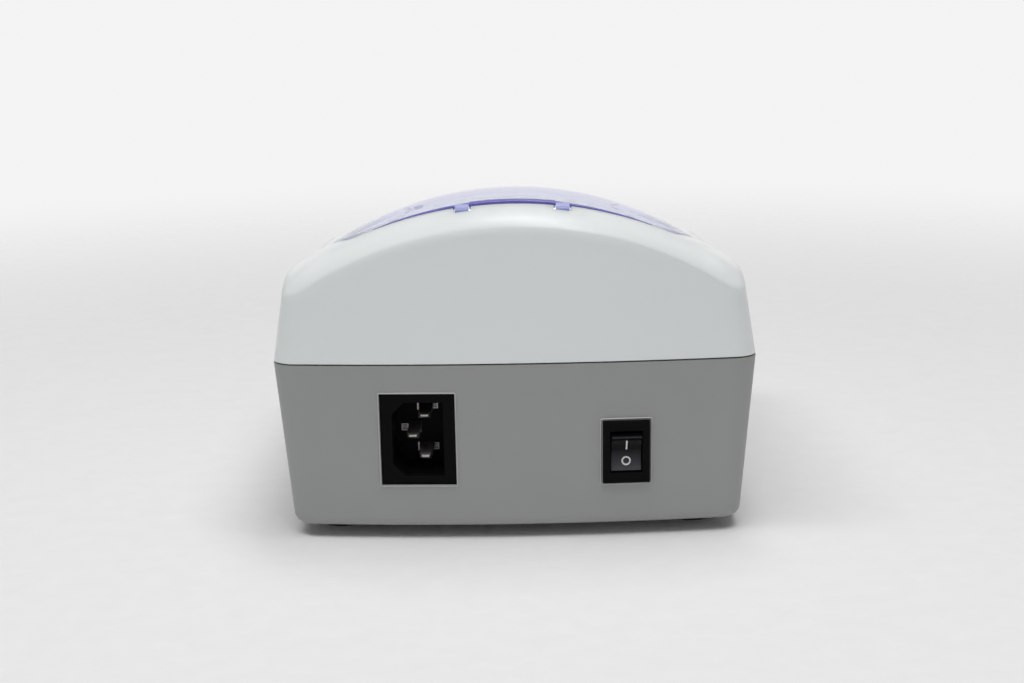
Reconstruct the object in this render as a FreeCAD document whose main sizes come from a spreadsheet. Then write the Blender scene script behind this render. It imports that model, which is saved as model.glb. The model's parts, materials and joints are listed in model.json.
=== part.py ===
"""Microcentrifuge: two-part moulded housing, tinted domed lid, angle rotor on a flat motor,
mains inlet and rocker switch in the rear wall, control panel on the front slope.

Frame: millimetres, +Z up, front towards -Y, rear wall towards +Y, origin on the standing
surface below the middle of the housing.
"""
import FreeCAD
import Part
import math
import os
import Sketcher
from FreeCAD import Placement, Rotation, Vector

doc = FreeCAD.newDocument("microcentrifuge")

# ---------------------------------------------------------------- driving dimensions

SIZES = {
    # housing
    "body_length": 200,
    "rear_half_width": 78,
    "front_half_width": 70,
    "rear_bow": 5,
    "side_bow": 2.5,
    "front_bow": 14,
    "rear_corner_radius": 8,
    "front_corner_radius": 24,
    "foot_height": 4,
    "parting_height": 59,
    "parting_gap": 0.5,
    "lower_draft": 5,
    "upper_draft": 8,
    "base_edge_radius": 3.5,
    "wall": 2.5,
    "crest_height": 108,
    "rear_drop": 16,
    "deck_height": 77.5,
    "lip_rise": 6,
    "tongue_depth": 3,
    "tongue_thickness": 1.3,
    "tongue_gap": 0.3,
    "fit_gap": 0.15,
    "running_gap": 0.05,
    # lid
    "lid_rear_reach": 6,
    "lid_front_reach": 11,
    "lid_side_reach": 7,
    "lid_rear_half_width": 52.5,
    "lid_front_half_width": 46,
    "lid_rear_bow": 0.8,
    "lid_nose_bow": 9,
    "lid_rear_corner": 4,
    "lid_front_corner": 16,
    "lid_lean": 12,
    "lid_gap": 0.6,
    "lid_rear_gap": 1,
    "lid_seat_gap": 0.3,
    "lid_wall": 2.5,
    "lid_rise": 2.9,
    "lid_nose_rise": 4.5,
    # hinge
    "hinge_back": 4,
    "hinge_depth": 2.7,
    "hinge_arm_offset": 16.3,
    "hinge_arm_width": 4.6,
    "hinge_eye_radius": 2.2,
    "hinge_pin_radius": 1,
    "hinge_slot_gap": 0.6,
    "hinge_block_width": 6,
    "relief_depth": 1.2,
    "relief_width": 1,
    # lid catch
    "catch_reach": 8,
    "catch_angle": 50.5,
    "catch_radius": 3.5,
    "catch_thickness": 1.6,
    "lid_magnet_radius": 3,
    "lid_magnet_thickness": 3,
    "magnet_pocket_wall": 1.3,
    "bumper_offset": 16,
    "bumper_setback": 3.5,
    "bumper_radius": 1.8,
    "bumper_depth": 1.5,
    "sensor_offset": 3,
    "sensor_width": 9,
    "sensor_length": 14,
    "sensor_board": 1.2,
    "reed_width": 3,
    "reed_length": 11,
    "reed_height": 2.8,
    # rotor chamber
    "axis_y": 12,
    "rotor_side_gap": 4.5,
    "rotor_floor_gap": 2.5,
    "bowl_wall": 1.5,
    "bowl_corner": 8,
    "bowl_flange": 3,
    "bowl_flange_thickness": 1.2,
    "bowl_hole_radius": 9,
    # rotor
    "rotor_radius": 53.5,
    "rotor_height": 37.5,
    "rotor_bevel_width": 3.5,
    "rotor_bevel_rise": 6,
    "rotor_band_height": 14,
    "rotor_rim_width": 6,
    "rotor_rim_rise": 4,
    "well_count": 8,
    "well_radius": 5.6,
    "well_ring_radius": 24,
    "well_depth": 29,
    "well_tilt": 45,
    "hub_radius": 14,
    "hub_height": 16,
    "shaft_radius": 3,
    "shaft_flange_radius": 6.5,
    "shaft_flange_thickness": 2.5,
    "knob_radius": 10,
    "knob_height": 11,
    "knob_chamfer": 1.5,
    "knob_roof": 3,
    "knurl_radius": 1,
    "knurl_count": 16,
    # motor
    "motor_radius": 29,
    "motor_height": 20,
    "motor_wall": 2,
    "motor_plate_radius": 40,
    "motor_plate_thickness": 2,
    "gasket_width": 4,
    "gasket_thickness": 1.5,
    "bearing_radius": 8.5,
    "bearing_width": 4,
    "bearing_seat_wall": 2,
    "shaft_clearance": 1,
    "core_radius": 12,
    "core_clearance": 1,
    "air_gap": 0.5,
    "stator_slots": 9,
    "stator_slot_radius": 3,
    "damper_height": 4.5,
    "damper_radius": 6,
    "damper_ring_radius": 34.5,
    "damper_angle": 90,
    "nut_radius": 2.9,
    "nut_height": 2.4,
    # mains inlet
    "inlet_offset": 31.7,
    "inlet_height": 34.1,
    "inlet_width": 24.1,
    "inlet_rise": 30.9,
    "inlet_side_lap": 2,
    "inlet_end_lap": 1.1,
    "inlet_bezel": 1.2,
    "inlet_depth": 18,
    "inlet_inset": 0.5,
    "socket_width": 16.6,
    "socket_rise": 25,
    "socket_chamfer": 4,
    "socket_floor": 2.5,
    "blade_width": 4,
    "blade_thickness": 2,
    "blade_pitch": 14,
    "blade_recess": 3.2,
    "blade_tab": 7,
    # rocker switch
    "switch_offset": 35.5,
    "switch_height": 29.1,
    "switch_width": 15.2,
    "switch_rise": 21,
    "switch_side_lap": 1.1,
    "switch_end_lap": 0.9,
    "switch_depth": 18,
    "switch_proud": 1.2,
    "switch_well": 9,
    "rocker_width": 10,
    "rocker_reach": 6.8,
    "rocker_throw": 12,
    "rocker_rise": 1.7,
    "rocker_keel": 3,
    "rocker_side_gap": 0.2,
    "rocker_end_gap": 0.3,
    "pivot_drop": 2.3,
    "pivot_radius": 1.2,
    "terminal_width": 4.8,
    "terminal_thickness": 0.8,
    "terminal_length": 8,
    "terminal_pitch": 10,
    # control panel
    "panel_setback": 18,
    "panel_sink": 2,
    "panel_slope": 18,
    "panel_width": 80,
    "panel_rise": 24,
    "panel_thickness": 1.2,
    "key_radius": 4.25,
    "key_pitch": 12,
    "key_start": 8,
    "key_travel": 0.8,
    "key_proud": 1,
    "key_gap": 0.3,
    "key_flange": 1.15,
    "key_flange_thickness": 1,
    "key_stem": 0.3,
    "key_switch_width": 6,
    "key_switch_height": 1,
    "plunger_radius": 1.6,
    "window_width": 34,
    "window_rise": 15,
    "window_offset": 19,
    "window_gap": 0.1,
    "window_ledge": 1.5,
    "module_margin": 2,
    "control_board_depth": 7.4,
    "control_board_width": 82,
    "control_board_rise": 23,
    "control_board_margin": 4,
    "board_post_radius": 2.8,
    # power supply
    "board_thickness": 1.6,
    "power_board_half_width": 50,
    "power_board_length": 44,
    "power_board_gap": 2,
    "standoff_height": 5,
    "standoff_radius": 3,
    "standoff_margin": 4,
    "transformer_offset": 24,
    "transformer_width": 32,
    "transformer_length": 26,
    "transformer_flange": 4,
    "winding_width": 24,
    "winding_length": 22,
    "winding_height": 10,
    "yoke_length": 14,
    "capacitor_offset": 20,
    "capacitor_radius": 9,
    "capacitor_height": 28,
    "choke_offset": 2,
    "choke_radius": 8,
    "choke_bore": 3.5,
    "choke_height": 9,
    "sink_offset": 38,
    "sink_length": 28,
    "sink_height": 18,
    "sink_plate": 2,
    "sink_fin_count": 5,
    "sink_fin_pitch": 6,
    "sink_fin_width": 9,
    "sink_fin_thickness": 1.2,
    # fasteners and feet
    "foot_radius": 8,
    "foot_taper": 1,
    "foot_boss_height": 6,
    "rear_foot_inset": 20,
    "rear_foot_setback": 30,
    "front_foot_inset": 14,
    "front_foot_setback": 50,
    "boss_radius": 4,
    "boss_seat": 18,
    "boss_grip": 10,
    "rear_boss_inset": 12,
    "rear_boss_setback": 17,
    "front_boss_inset": 14,
    "front_boss_setback": 31,
    "counterbore_depth": 4,
    "screw_radius": 1.5,
    "small_screw_radius": 1.1,
    "screw_clearance": 0.1,
    "screw_head_radius": 2.75,
    "screw_head_height": 1.8,
    "board_screw_length": 5,
    "foot_screw_length": 8,
}

sheet = doc.addObject("Spreadsheet::Sheet", "Sizes")


class Size(float):
    """A length or angle that knows both its value and the sheet expression behind it."""

    def __new__(cls, value, text):
        size = super().__new__(cls, value)
        size.text = text
        return size

    def __add__(self, other):
        return Size(float(self) + float(other), f"({self.text} + {sized(other).text})")

    def __sub__(self, other):
        return Size(float(self) - float(other), f"({self.text} - {sized(other).text})")

    def __mul__(self, other):
        return Size(float(self) * float(other), f"({self.text} * {sized(other).text})")

    def __truediv__(self, other):
        return Size(float(self) / float(other), f"({self.text} / {sized(other).text})")

    def __radd__(self, other):
        return sized(other) + self

    def __rsub__(self, other):
        return sized(other) - self

    def __rmul__(self, other):
        return sized(other) * self

    def __neg__(self):
        return Size(-float(self), f"(-{self.text})")


def sized(value):
    """Any number as a Size."""
    if isinstance(value, Size):
        return value
    return Size(value, repr(round(value, 6)))


def trig(name, angle):
    """The sine, cosine or tangent of an angle in degrees."""
    angle = sized(angle)
    return Size(getattr(math, name)(math.radians(angle)), f"{name}({angle.text} * 1 deg)")


class Dimensions:
    """One attribute per alias of the sheet."""


s = Dimensions()
for row, (alias, number) in enumerate(SIZES.items(), 1):
    sheet.set(f"A{row}", alias)
    sheet.set(f"B{row}", str(number))
    sheet.setAlias(f"B{row}", alias)
    setattr(s, alias, Size(number, f"Sizes.{alias}"))
doc.recompute()

# ---------------------------------------------------------------- sizes that follow from others

HALF_LENGTH = s.body_length / 2
LIP = s.deck_height + s.lip_rise
BOWL_RADIUS = s.rotor_radius + s.rotor_side_gap
BOWL_OUTER = BOWL_RADIUS + s.bowl_wall
LID_REAR = s.axis_y + BOWL_RADIUS + s.lid_rear_reach
LID_FRONT = BOWL_RADIUS - s.axis_y + s.lid_front_reach
HINGE_Y = LID_REAR + s.hinge_back
HINGE_Z = s.crest_height - s.hinge_depth
BASE = s.foot_height + s.wall
PLATE_LOW = BASE + s.damper_height
MOTOR_LOW = PLATE_LOW + s.motor_plate_thickness
MOTOR_TOP = MOTOR_LOW + s.motor_height
BOWL_FLOOR = MOTOR_TOP + s.gasket_thickness
ROTOR_FLOOR = BOWL_FLOOR + s.bowl_wall + s.rotor_floor_gap
PANEL_Y = LID_FRONT + s.panel_setback
PANEL_Z = LIP - s.panel_setback * trig("tan", s.panel_slope) - s.panel_sink
SKY = s.crest_height + 20
OVERCUT = 1

SUBPARTS = []

# ---------------------------------------------------------------- sketch and body helpers


class Piece:
    """A PartDesign body, built from sketches on its own origin planes."""

    def __init__(self, label, at=(0, 0, 0), turn=None):
        self.label = label
        self.body = doc.addObject("PartDesign::Body", label)
        self.body.Label = label
        self.body.AllowCompound = True
        self.count = 0
        self.body.Placement = Placement(Vector(*at), turn or Rotation())
        for axis, value in zip("xyz", at):
            self.body.setExpression(f".Placement.Base.{axis}", sized(value).text)
        SUBPARTS.append(self.body)

    def feature(self, kind):
        self.count += 1
        return self.body.newObject(kind, f"{self.label}_{self.count}")

    def sketch(self, plane="XY", offset=0):
        """An empty sketch on an origin plane, moved along the plane's normal."""
        sketch = self.feature("Sketcher::SketchObject")
        role = f"{plane}_Plane"
        origin_plane = [f for f in self.body.Origin.OriginFeatures if f.Role == role][0]
        sketch.AttachmentSupport = [(origin_plane, "")]
        sketch.MapMode = "FlatFace"
        sketch.setExpression(".AttachmentOffset.Base.z", sized(offset).text)
        return sketch

    def pad(self, sketch, length, both=False):
        return self.extrude("PartDesign::Pad", sketch, length, both)

    def pocket(self, sketch, length, both=False):
        return self.extrude("PartDesign::Pocket", sketch, length, both)

    def extrude(self, kind, sketch, length, both):
        feature = self.feature(kind)
        feature.Profile = sketch
        feature.setExpression("Length", sized(length).text)
        feature.Midplane = both
        if kind.endswith("Pocket"):
            feature.Reversed = True
        return feature

    def revolve(self, sketch):
        feature = self.feature("PartDesign::Revolution")
        feature.Profile = sketch
        feature.ReferenceAxis = (sketch, ["V_Axis"])
        feature.Angle = 360
        return feature

    def ring(self, original, sketch, count, axis="N_Axis"):
        """Repeats a feature evenly about an axis of a sketch."""
        pattern = self.feature("PartDesign::PolarPattern")
        pattern.Originals = [original]
        pattern.Axis = (sketch, [axis])
        pattern.Angle = 360
        pattern.setExpression("Occurrences", sized(count).text)
        self.body.Tip = pattern
        return pattern


def pin_point(sketch, element, point, position):
    """Holds a sketch point at a place given by Sizes."""
    for kind, value in zip(("DistanceX", "DistanceY"), position):
        index = sketch.addConstraint(Sketcher.Constraint(kind, -1, 1, element, point, float(value)))
        sketch.setExpression(f"Constraints[{index}]", sized(value).text)


def polygon(sketch, corners):
    """A closed outline of straight sides, every corner bound to the sheet."""
    first = sketch.GeometryCount
    places = [Vector(x, y, 0) for x, y in corners]
    total = len(corners)
    for index in range(total):
        sketch.addGeometry(Part.LineSegment(places[index], places[(index + 1) % total]))
    for index in range(total):
        following = first + (index + 1) % total
        sketch.addConstraint(Sketcher.Constraint("Coincident", first + index, 2, following, 1))
    for index, corner in enumerate(corners):
        pin_point(sketch, first + index, 1, corner)
    return sketch


def rectangle(sketch, width, rise, at=(0, 0)):
    """A rectangle about a centre."""
    x, y = sized(at[0]), sized(at[1])
    half_x, half_y = sized(width) / 2, sized(rise) / 2
    return polygon(sketch, [(x - half_x, y - half_y), (x + half_x, y - half_y),
                            (x + half_x, y + half_y), (x - half_x, y + half_y)])


def circle(sketch, radius, at=(0, 0)):
    """A circle with its centre and radius bound to the sheet."""
    element = sketch.addGeometry(Part.Circle(Vector(*at, 0), Vector(0, 0, 1), float(radius)))
    pin_point(sketch, element, 3, at)
    index = sketch.addConstraint(Sketcher.Constraint("Radius", element, float(radius)))
    sketch.setExpression(f"Constraints[{index}]", sized(radius).text)
    return sketch


def disc(label, radius, low, high, at=(0, 0), bore=None, turn=None):
    """A round plate or ring between two heights."""
    piece = Piece(label, (at[0], at[1], low), turn)
    sketch = circle(piece.sketch(), radius)
    if bore is not None:
        circle(sketch, bore)
    piece.pad(sketch, sized(high) - low)
    return piece


def screws(label, places, seat, length, turn=None, base=(0, 0, 0), radius=s.screw_radius,
           head_radius=s.screw_head_radius, head_height=s.screw_head_height):
    """Cross-head screws with heads below the seat and shanks above it."""
    piece = Piece(label, base, turn)
    shanks = piece.sketch(offset=seat)
    heads = piece.sketch(offset=seat - head_height)
    drives = piece.sketch(offset=seat - head_height)
    for place in places:
        circle(shanks, radius, place)
        circle(heads, head_radius, place)
        circle(drives, head_radius / 2, place)
    piece.pad(shanks, length)
    piece.pad(heads, head_height)
    piece.pocket(drives, head_height / 2)
    return piece


def feature(label, shape):
    """A sub-part whose shape is made with Part functions from the sheet's sizes."""
    item = doc.addObject("Part::Feature", label)
    item.Label = label
    item.Shape = shape
    SUBPARTS.append(item)



# ---------------------------------------------------------------- housing and lid forms


def plan_wire(height, inset):
    """The housing's outline at one height: four bowed sides, drawn in by an inset."""
    rear_x = s.rear_half_width - inset
    front_x = s.front_half_width - inset
    rear_y = HALF_LENGTH - s.rear_bow - inset
    front_y = s.front_bow - HALF_LENGTH + inset
    middle_x = (rear_x + front_x) / 2 + s.side_bow
    middle_y = (rear_y + front_y) / 2
    corners = [(rear_x, rear_y), (-rear_x, rear_y), (-front_x, front_y), (front_x, front_y)]
    middles = [(0, HALF_LENGTH - inset), (-middle_x, middle_y), (0, inset - HALF_LENGTH),
               (middle_x, middle_y)]
    return arc_loop(corners, middles, height)


def arc_loop(corners, middles, height):
    """A closed wire of arcs from corner to corner, each through its middle point."""
    arcs = []
    for index, corner in enumerate(corners):
        start, middle = Vector(*corner, height), Vector(*middles[index], height)
        end = Vector(*corners[(index + 1) % len(corners)], height)
        arcs.append(Part.Arc(start, middle, end).toShape())
    return Part.Wire(arcs)


def round_uprights(form, rear_radius, front_radius):
    """Rounds a block's upright edges, those behind the origin apart from those in front."""
    for front, radius in ((False, rear_radius), (True, front_radius)):
        edges = [edge for edge in form.Edges
                 if edge.BoundBox.ZLength > 1 and (edge.BoundBox.Center.y < 0) == front]
        form = form.makeFillet(radius, edges)
    return form


def drafted_block(low, high, draft, offset):
    """The housing's outer form between two heights; a positive draft widens it upwards."""
    wires = [plan_wire(height, offset + (s.parting_height - height) * draft)
             for height in (low, high)]
    return round_uprights(Part.makeLoft(wires, True, True),
                          s.rear_corner_radius - offset, s.front_corner_radius - offset)


def smooth(stations, y, column):
    """A table's value at y: a monotone cubic through its stations, which run from rear to front."""
    places = [-station[0] for station in stations]
    levels = [station[column] for station in stations]
    spans = [after - before for before, after in zip(places, places[1:])]
    slopes = [(after - before) / span for before, after, span in zip(levels, levels[1:], spans)]
    bends = [slopes[0]]
    for first, second in zip(slopes, slopes[1:]):
        bends.append(0 if first * second <= 0 else 2 * first * second / (first + second))
    bends.append(slopes[-1])
    index = max(i for i in range(len(spans)) if i == 0 or places[i] <= -y)
    span = spans[index]
    share = (-y - places[index]) / span
    return (levels[index] * (1 + 2 * share) * (1 - share) ** 2
            + levels[index + 1] * share ** 2 * (3 - 2 * share)
            + span * bends[index] * share * (1 - share) ** 2
            - span * bends[index + 1] * share ** 2 * (1 - share))


def crowned_form(stations, thickness):
    """A solid below a doubly curved crown: each station is (y, crest height, arch radius)."""
    stations = [tuple(float(part) for part in station) for station in stations]
    reach = float(s.rear_half_width + s.side_bow) + 10
    row_step = 4
    columns = 12
    rear, front = stations[0][0], stations[-1][0]
    rows = round((rear - front) / row_step)
    grid = []
    for row in range(rows + 1):
        y = rear + (front - rear) * row / rows
        crest = smooth(stations, y, 1) - thickness
        radius = smooth(stations, y, 2) - thickness
        line = []
        for column in range(columns + 1):
            x = reach * (2 * column / columns - 1)
            line.append(Vector(x, y, crest - radius + math.sqrt(radius ** 2 - x ** 2)))
        grid.append(line)
    surface = Part.BSplineSurface()
    surface.interpolate(grid)
    return surface.toShape().extrude(Vector(0, 0, -SKY))


def roof_stations():
    """The housing's crown: it rolls up to the lid, falls beside it, then slopes to the front.

    The roll is given in shares of the shelf behind the lid and of the rear drop, the fall in
    shares of the lid's length and of the height from crest to front lip.
    """
    shelf = HALF_LENGTH - LID_REAR
    roll = [(-0.33, 1.62, 117), (0, 1, 117), (0.17, 0.475, 118), (0.33, 0.26, 121),
            (0.54, 0.125, 124), (1, 0, 128)]
    stations = [(HALF_LENGTH - share * shelf, s.crest_height - drop * s.rear_drop, radius)
                for share, drop, radius in roll]
    fall = [(0.27, 0.14, 134), (0.48, 0.335, 140), (0.76, 0.655, 165), (1, 1, 260)]
    stations += [(LID_REAR - share * (LID_REAR + LID_FRONT),
                  s.crest_height - drop * (s.crest_height - LIP), radius)
                 for share, drop, radius in fall]
    for y, radius in ((-PANEL_Y, 420), (-HALF_LENGTH - 4, 480)):
        stations.append((y, LIP + (y + LID_FRONT) * trig("tan", s.panel_slope), radius))
    return stations


def lid_stations():
    """The lid's dome: rounder and higher than the housing's crown, low again at the hinge."""
    top = s.crest_height + s.lid_rise
    nose = LIP + s.lid_nose_rise
    dome = [(-0.03, 0.16, 118), (0, 0.1, 118), (0.085, 0, 110), (0.2, 0.07, 108), (0.355, 0.2, 110),
            (0.49, 0.335, 113.7), (0.655, 0.53, 120), (0.84, 0.78, 135), (1.05, 1.07, 160),
            (1.15, 1.2, 170)]
    return [(LID_REAR - share * (LID_REAR + LID_FRONT), top - drop * (top - nose), radius)
            for share, drop, radius in dome]


def lid_outline(height, grow, rear_grow):
    """The lid's plan at one height: bowed rear edge, sides round the rotor, leaning nose."""
    rear = LID_REAR + rear_grow
    front = (LIP - height) * trig("tan", s.lid_lean) - LID_FRONT - grow
    shoulder = front + s.lid_nose_bow
    rear_x = s.lid_rear_half_width + grow
    side_x = BOWL_RADIUS + s.lid_side_reach + grow
    front_x = s.lid_front_half_width + grow
    corners = [(rear_x, rear), (-rear_x, rear), (-front_x, shoulder), (front_x, shoulder)]
    middles = [(0, rear + s.lid_rear_bow), (-side_x, s.axis_y), (0, front), (side_x, s.axis_y)]
    return arc_loop(corners, middles, height)


def lid_prism(low, high, grow, rear_grow):
    """A block on the lid's plan, grown by one amount at the sides and one at the rear."""
    wires = [lid_outline(height, grow, rear_grow) for height in (low, high)]
    return round_uprights(Part.makeLoft(wires, True, True),
                          s.lid_rear_corner + grow, s.lid_front_corner + grow)


def post(radius, place, low, high):
    return Part.makeCylinder(radius, high - low, Vector(*place, low))


# ---------------------------------------------------------------- shared places


def mirrored(x, y):
    """A place and its twin on the other side of the middle plane."""
    return [(x, y), (-x, y)]


CATCH_REACH = BOWL_RADIUS + s.catch_reach
CATCHES = mirrored(CATCH_REACH * trig("cos", s.catch_angle),
                   s.axis_y - CATCH_REACH * trig("sin", s.catch_angle))
BUMPERS = mirrored(s.bumper_offset, s.bumper_setback - LID_FRONT)
BOSSES = (mirrored(s.rear_half_width - s.rear_boss_inset, HALF_LENGTH - s.rear_boss_setback)
          + mirrored(s.front_half_width - s.front_boss_inset, s.front_boss_setback - HALF_LENGTH))
FEET = (mirrored(s.rear_half_width - s.rear_foot_inset, HALF_LENGTH - s.rear_foot_setback)
        + mirrored(s.front_half_width - s.front_foot_inset, s.front_foot_setback - HALF_LENGTH))
BOARD_BACK = s.axis_y - s.motor_plate_radius - s.power_board_gap
BOARD_FRONT = BOARD_BACK - s.power_board_length
STANDOFF_X = s.power_board_half_width - s.standoff_margin
STANDOFFS = (mirrored(STANDOFF_X, BOARD_BACK - s.standoff_margin)
             + mirrored(STANDOFF_X, BOARD_FRONT + s.standoff_margin))
PANEL_HOLE_X = s.control_board_width / 2 - s.control_board_margin
PANEL_HOLE_Y = s.control_board_rise / 2 - s.control_board_margin
PANEL_HOLES = mirrored(PANEL_HOLE_X, PANEL_HOLE_Y) + mirrored(PANEL_HOLE_X, -PANEL_HOLE_Y)


def damper_offset(angle):
    """A damper's place from the motor axis."""
    return s.damper_ring_radius * trig("cos", angle), s.damper_ring_radius * trig("sin", angle)


DAMPERS = [damper_offset(s.damper_angle + turn) for turn in (0, 120, 240)]

REAR_BOW_RADIUS = ((s.rear_half_width * s.rear_half_width + s.rear_bow * s.rear_bow)
                   / (s.rear_bow * 2))


def rear_place(x, height):
    """A point on the outer face of the rear wall, and the turn of a fitting that sits there.

    A fitting's own frame has x across the wall, y up it and z outwards.
    """
    lean = (s.parting_height - height) * trig("tan", s.lower_draft)
    bow = x * x / (REAR_BOW_RADIUS * 2)
    facing = Rotation(Vector(-1, 0, 0), Vector(0, 0, 1), Vector(0, 1, 0), "ZYX")
    tilt = Rotation(Vector(1, 0, 0), -s.lower_draft)
    yaw = Rotation(Vector(0, 0, 1), -math.degrees(math.asin(x / REAR_BOW_RADIUS)))
    return (x, HALF_LENGTH - lean - bow, height), yaw * tilt * facing


INLET_AT, INLET_TURN = rear_place(s.inlet_offset, s.inlet_height)
INLET = Placement(Vector(*INLET_AT), INLET_TURN)
SWITCH_AT, SWITCH_TURN = rear_place(-s.switch_offset, s.switch_height)
SWITCH = Placement(Vector(*SWITCH_AT), SWITCH_TURN)
PANEL_AT, PANEL_TURN = (0, -PANEL_Y, PANEL_Z), Rotation(Vector(1, 0, 0), s.panel_slope)
PANEL = Placement(Vector(*PANEL_AT), PANEL_TURN)
KEYS = [("slower_key", s.key_start), ("faster_key", s.key_start + s.key_pitch),
        ("start_key", s.key_start + s.key_pitch * 2)]


def local_box(width, rise, low, high, placement, x=0):
    """A box given in a fitting's own frame."""
    box = Part.makeBox(width, rise, high - low, Vector(x - width / 2, -rise / 2, low))
    box.Placement = placement
    return box


def local_post(radius, place, low, high, placement):
    """A cylinder given in a fitting's own frame."""
    cylinder = post(radius, place, low, high)
    cylinder.Placement = placement * cylinder.Placement
    return cylinder


# ---------------------------------------------------------------- housing


def lower_housing():
    """Tray with drafted walls, rear cut-outs, screw bosses and board standoffs."""
    draft = trig("tan", s.lower_draft)
    outer = drafted_block(s.foot_height, s.parting_height, draft, 0)
    edges = [edge for edge in outer.Edges if edge.BoundBox.ZMax < s.foot_height + 0.01]
    outer = outer.makeFillet(s.base_edge_radius, edges)
    inner = drafted_block(BASE, s.parting_height + OVERCUT, draft, s.wall)
    root = BASE - s.wall / 2
    bosses = [post(s.boss_radius, place, root, s.boss_seat) for place in BOSSES]
    bosses += [post(s.boss_radius, place, root, BASE + s.foot_boss_height) for place in FEET]
    bosses += [post(s.standoff_radius, place, root, BASE + s.standoff_height) for place in STANDOFFS]
    shell = outer.cut(inner).fuse(bosses)

    under = s.foot_height - OVERCUT
    loose = s.screw_radius + s.screw_clearance
    sunk = s.screw_head_radius + 2 * s.screw_clearance
    holes = [post(sunk, place, under, s.foot_height + s.counterbore_depth) for place in BOSSES]
    holes += [post(loose, place, s.foot_height, s.parting_height) for place in BOSSES]
    holes += [post(s.screw_radius, place, under, BASE + s.foot_boss_height - 1) for place in FEET]
    holes += [post(s.screw_radius, place, BASE + 1, s.parting_height) for place in STANDOFFS]
    holes += [post(loose, (x, s.axis_y + y), under, BASE + 1) for x, y in DAMPERS]
    slack = 2 * s.fit_gap
    deep = -3 * s.wall
    holes.append(local_box(s.inlet_width + slack, s.inlet_rise + slack,
                           -s.inlet_inset - s.inlet_bezel, 5, INLET))
    holes.append(local_box(s.inlet_width - 2 * s.inlet_side_lap + slack,
                           s.inlet_rise - 2 * s.inlet_end_lap + slack, deep, 5, INLET))
    holes.append(local_box(s.switch_width - 2 * s.switch_side_lap + slack,
                           s.switch_rise - 2 * s.switch_end_lap + slack, deep, 5, SWITCH))
    feature("lower_housing", shell.cut(holes))


def upper_housing():
    """Crowned cover: lid recess with a flat deck, hinge blocks, panel seat and long bosses."""
    draft = -trig("tan", s.upper_draft)
    low = s.parting_height + s.parting_gap
    outer = drafted_block(low, SKY, draft, 0).common(crowned_form(roof_stations(), 0))
    inner = drafted_block(s.parting_height, SKY, draft, s.wall)
    inner = inner.common(crowned_form(roof_stations(), s.wall))
    recess = lid_prism(s.deck_height, SKY, s.lid_gap, s.lid_rear_gap)
    recess_skin = lid_prism(s.deck_height - s.wall, SKY, s.lid_gap + s.wall,
                            s.lid_rear_gap + s.wall)
    seat_width = s.panel_width + 2 * s.fit_gap
    seat_rise = s.panel_rise + 2 * s.fit_gap
    over = 12
    seat = local_box(seat_width, seat_rise, -s.panel_thickness, over, PANEL)
    seat_skin = local_box(seat_width + 2 * s.wall, seat_rise + 2 * s.wall,
                          -s.panel_thickness - s.wall, over, PANEL)
    keep = [recess_skin, seat_skin]
    keep += [post(s.boss_radius, place, s.parting_height, SKY) for place in BOSSES]
    keep += [local_post(s.board_post_radius, place, -s.control_board_depth, 5, PANEL)
             for place in PANEL_HOLES]
    keep += hinge_blocks()
    shell = outer.cut(inner.cut(keep)).cut([recess, seat])

    slack = s.tongue_gap + s.tongue_depth * trig("tan", s.lower_draft) + s.wall
    tongue_low = s.parting_height - s.tongue_depth
    ledge_top = low + s.tongue_thickness
    ledge = drafted_block(low, ledge_top, 0, s.wall / 2)
    tongue = drafted_block(tongue_low, ledge_top, 0, slack)
    core = drafted_block(tongue_low - OVERCUT, ledge_top + OVERCUT, 0, slack + s.tongue_thickness)
    bosses = [post(s.boss_radius, place, s.boss_seat, ledge_top) for place in BOSSES]
    shell = shell.fuse([ledge.fuse(tongue).cut(core)] + bosses)

    bowl_top = s.deck_height - s.bowl_flange_thickness
    axis = (0, s.axis_y)
    holes = [post(s.screw_radius, place, 0, s.boss_seat + s.boss_grip + 2) for place in BOSSES]
    holes.append(post(BOWL_OUTER + s.fit_gap, axis, s.deck_height - 2 * s.wall, SKY))
    holes.append(post(BOWL_RADIUS + s.bowl_flange + s.fit_gap, axis, bowl_top, SKY))
    holes += hinge_cuts()
    holes += [local_post(s.key_radius + s.key_gap, (x, 0), -8, 2, PANEL) for _, x in KEYS]
    holes.append(local_box(s.window_width - 2 * s.window_ledge, s.window_rise - 2 * s.window_ledge,
                           -8, 2, PANEL, -s.window_offset))
    holes += [local_post(s.small_screw_radius, place, -8, -3, PANEL) for place in PANEL_HOLES]
    top = s.deck_height + OVERCUT
    holes += [post(s.catch_radius, place, s.deck_height - s.catch_thickness, top)
              for place in CATCHES]
    holes += [post(s.bumper_radius, place, s.deck_height - s.bumper_depth, top)
              for place in BUMPERS]
    feature("upper_housing", shell.cut(holes))


def hinge_blocks():
    """Walls round each lid arm's slot; the inner one carries the hinge pin."""
    half_slot = s.hinge_arm_width / 2 + s.hinge_slot_gap
    around = s.hinge_eye_radius + s.hinge_slot_gap + s.wall
    start = s.hinge_arm_offset - half_slot - s.hinge_block_width
    end = s.hinge_arm_offset + half_slot + s.wall
    low = HINGE_Z - around
    return [Part.makeBox(end - start, HINGE_Y + around - LID_REAR, SKY - low,
                         Vector(left, LID_REAR, low)) for left in (start, -end)]


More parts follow.
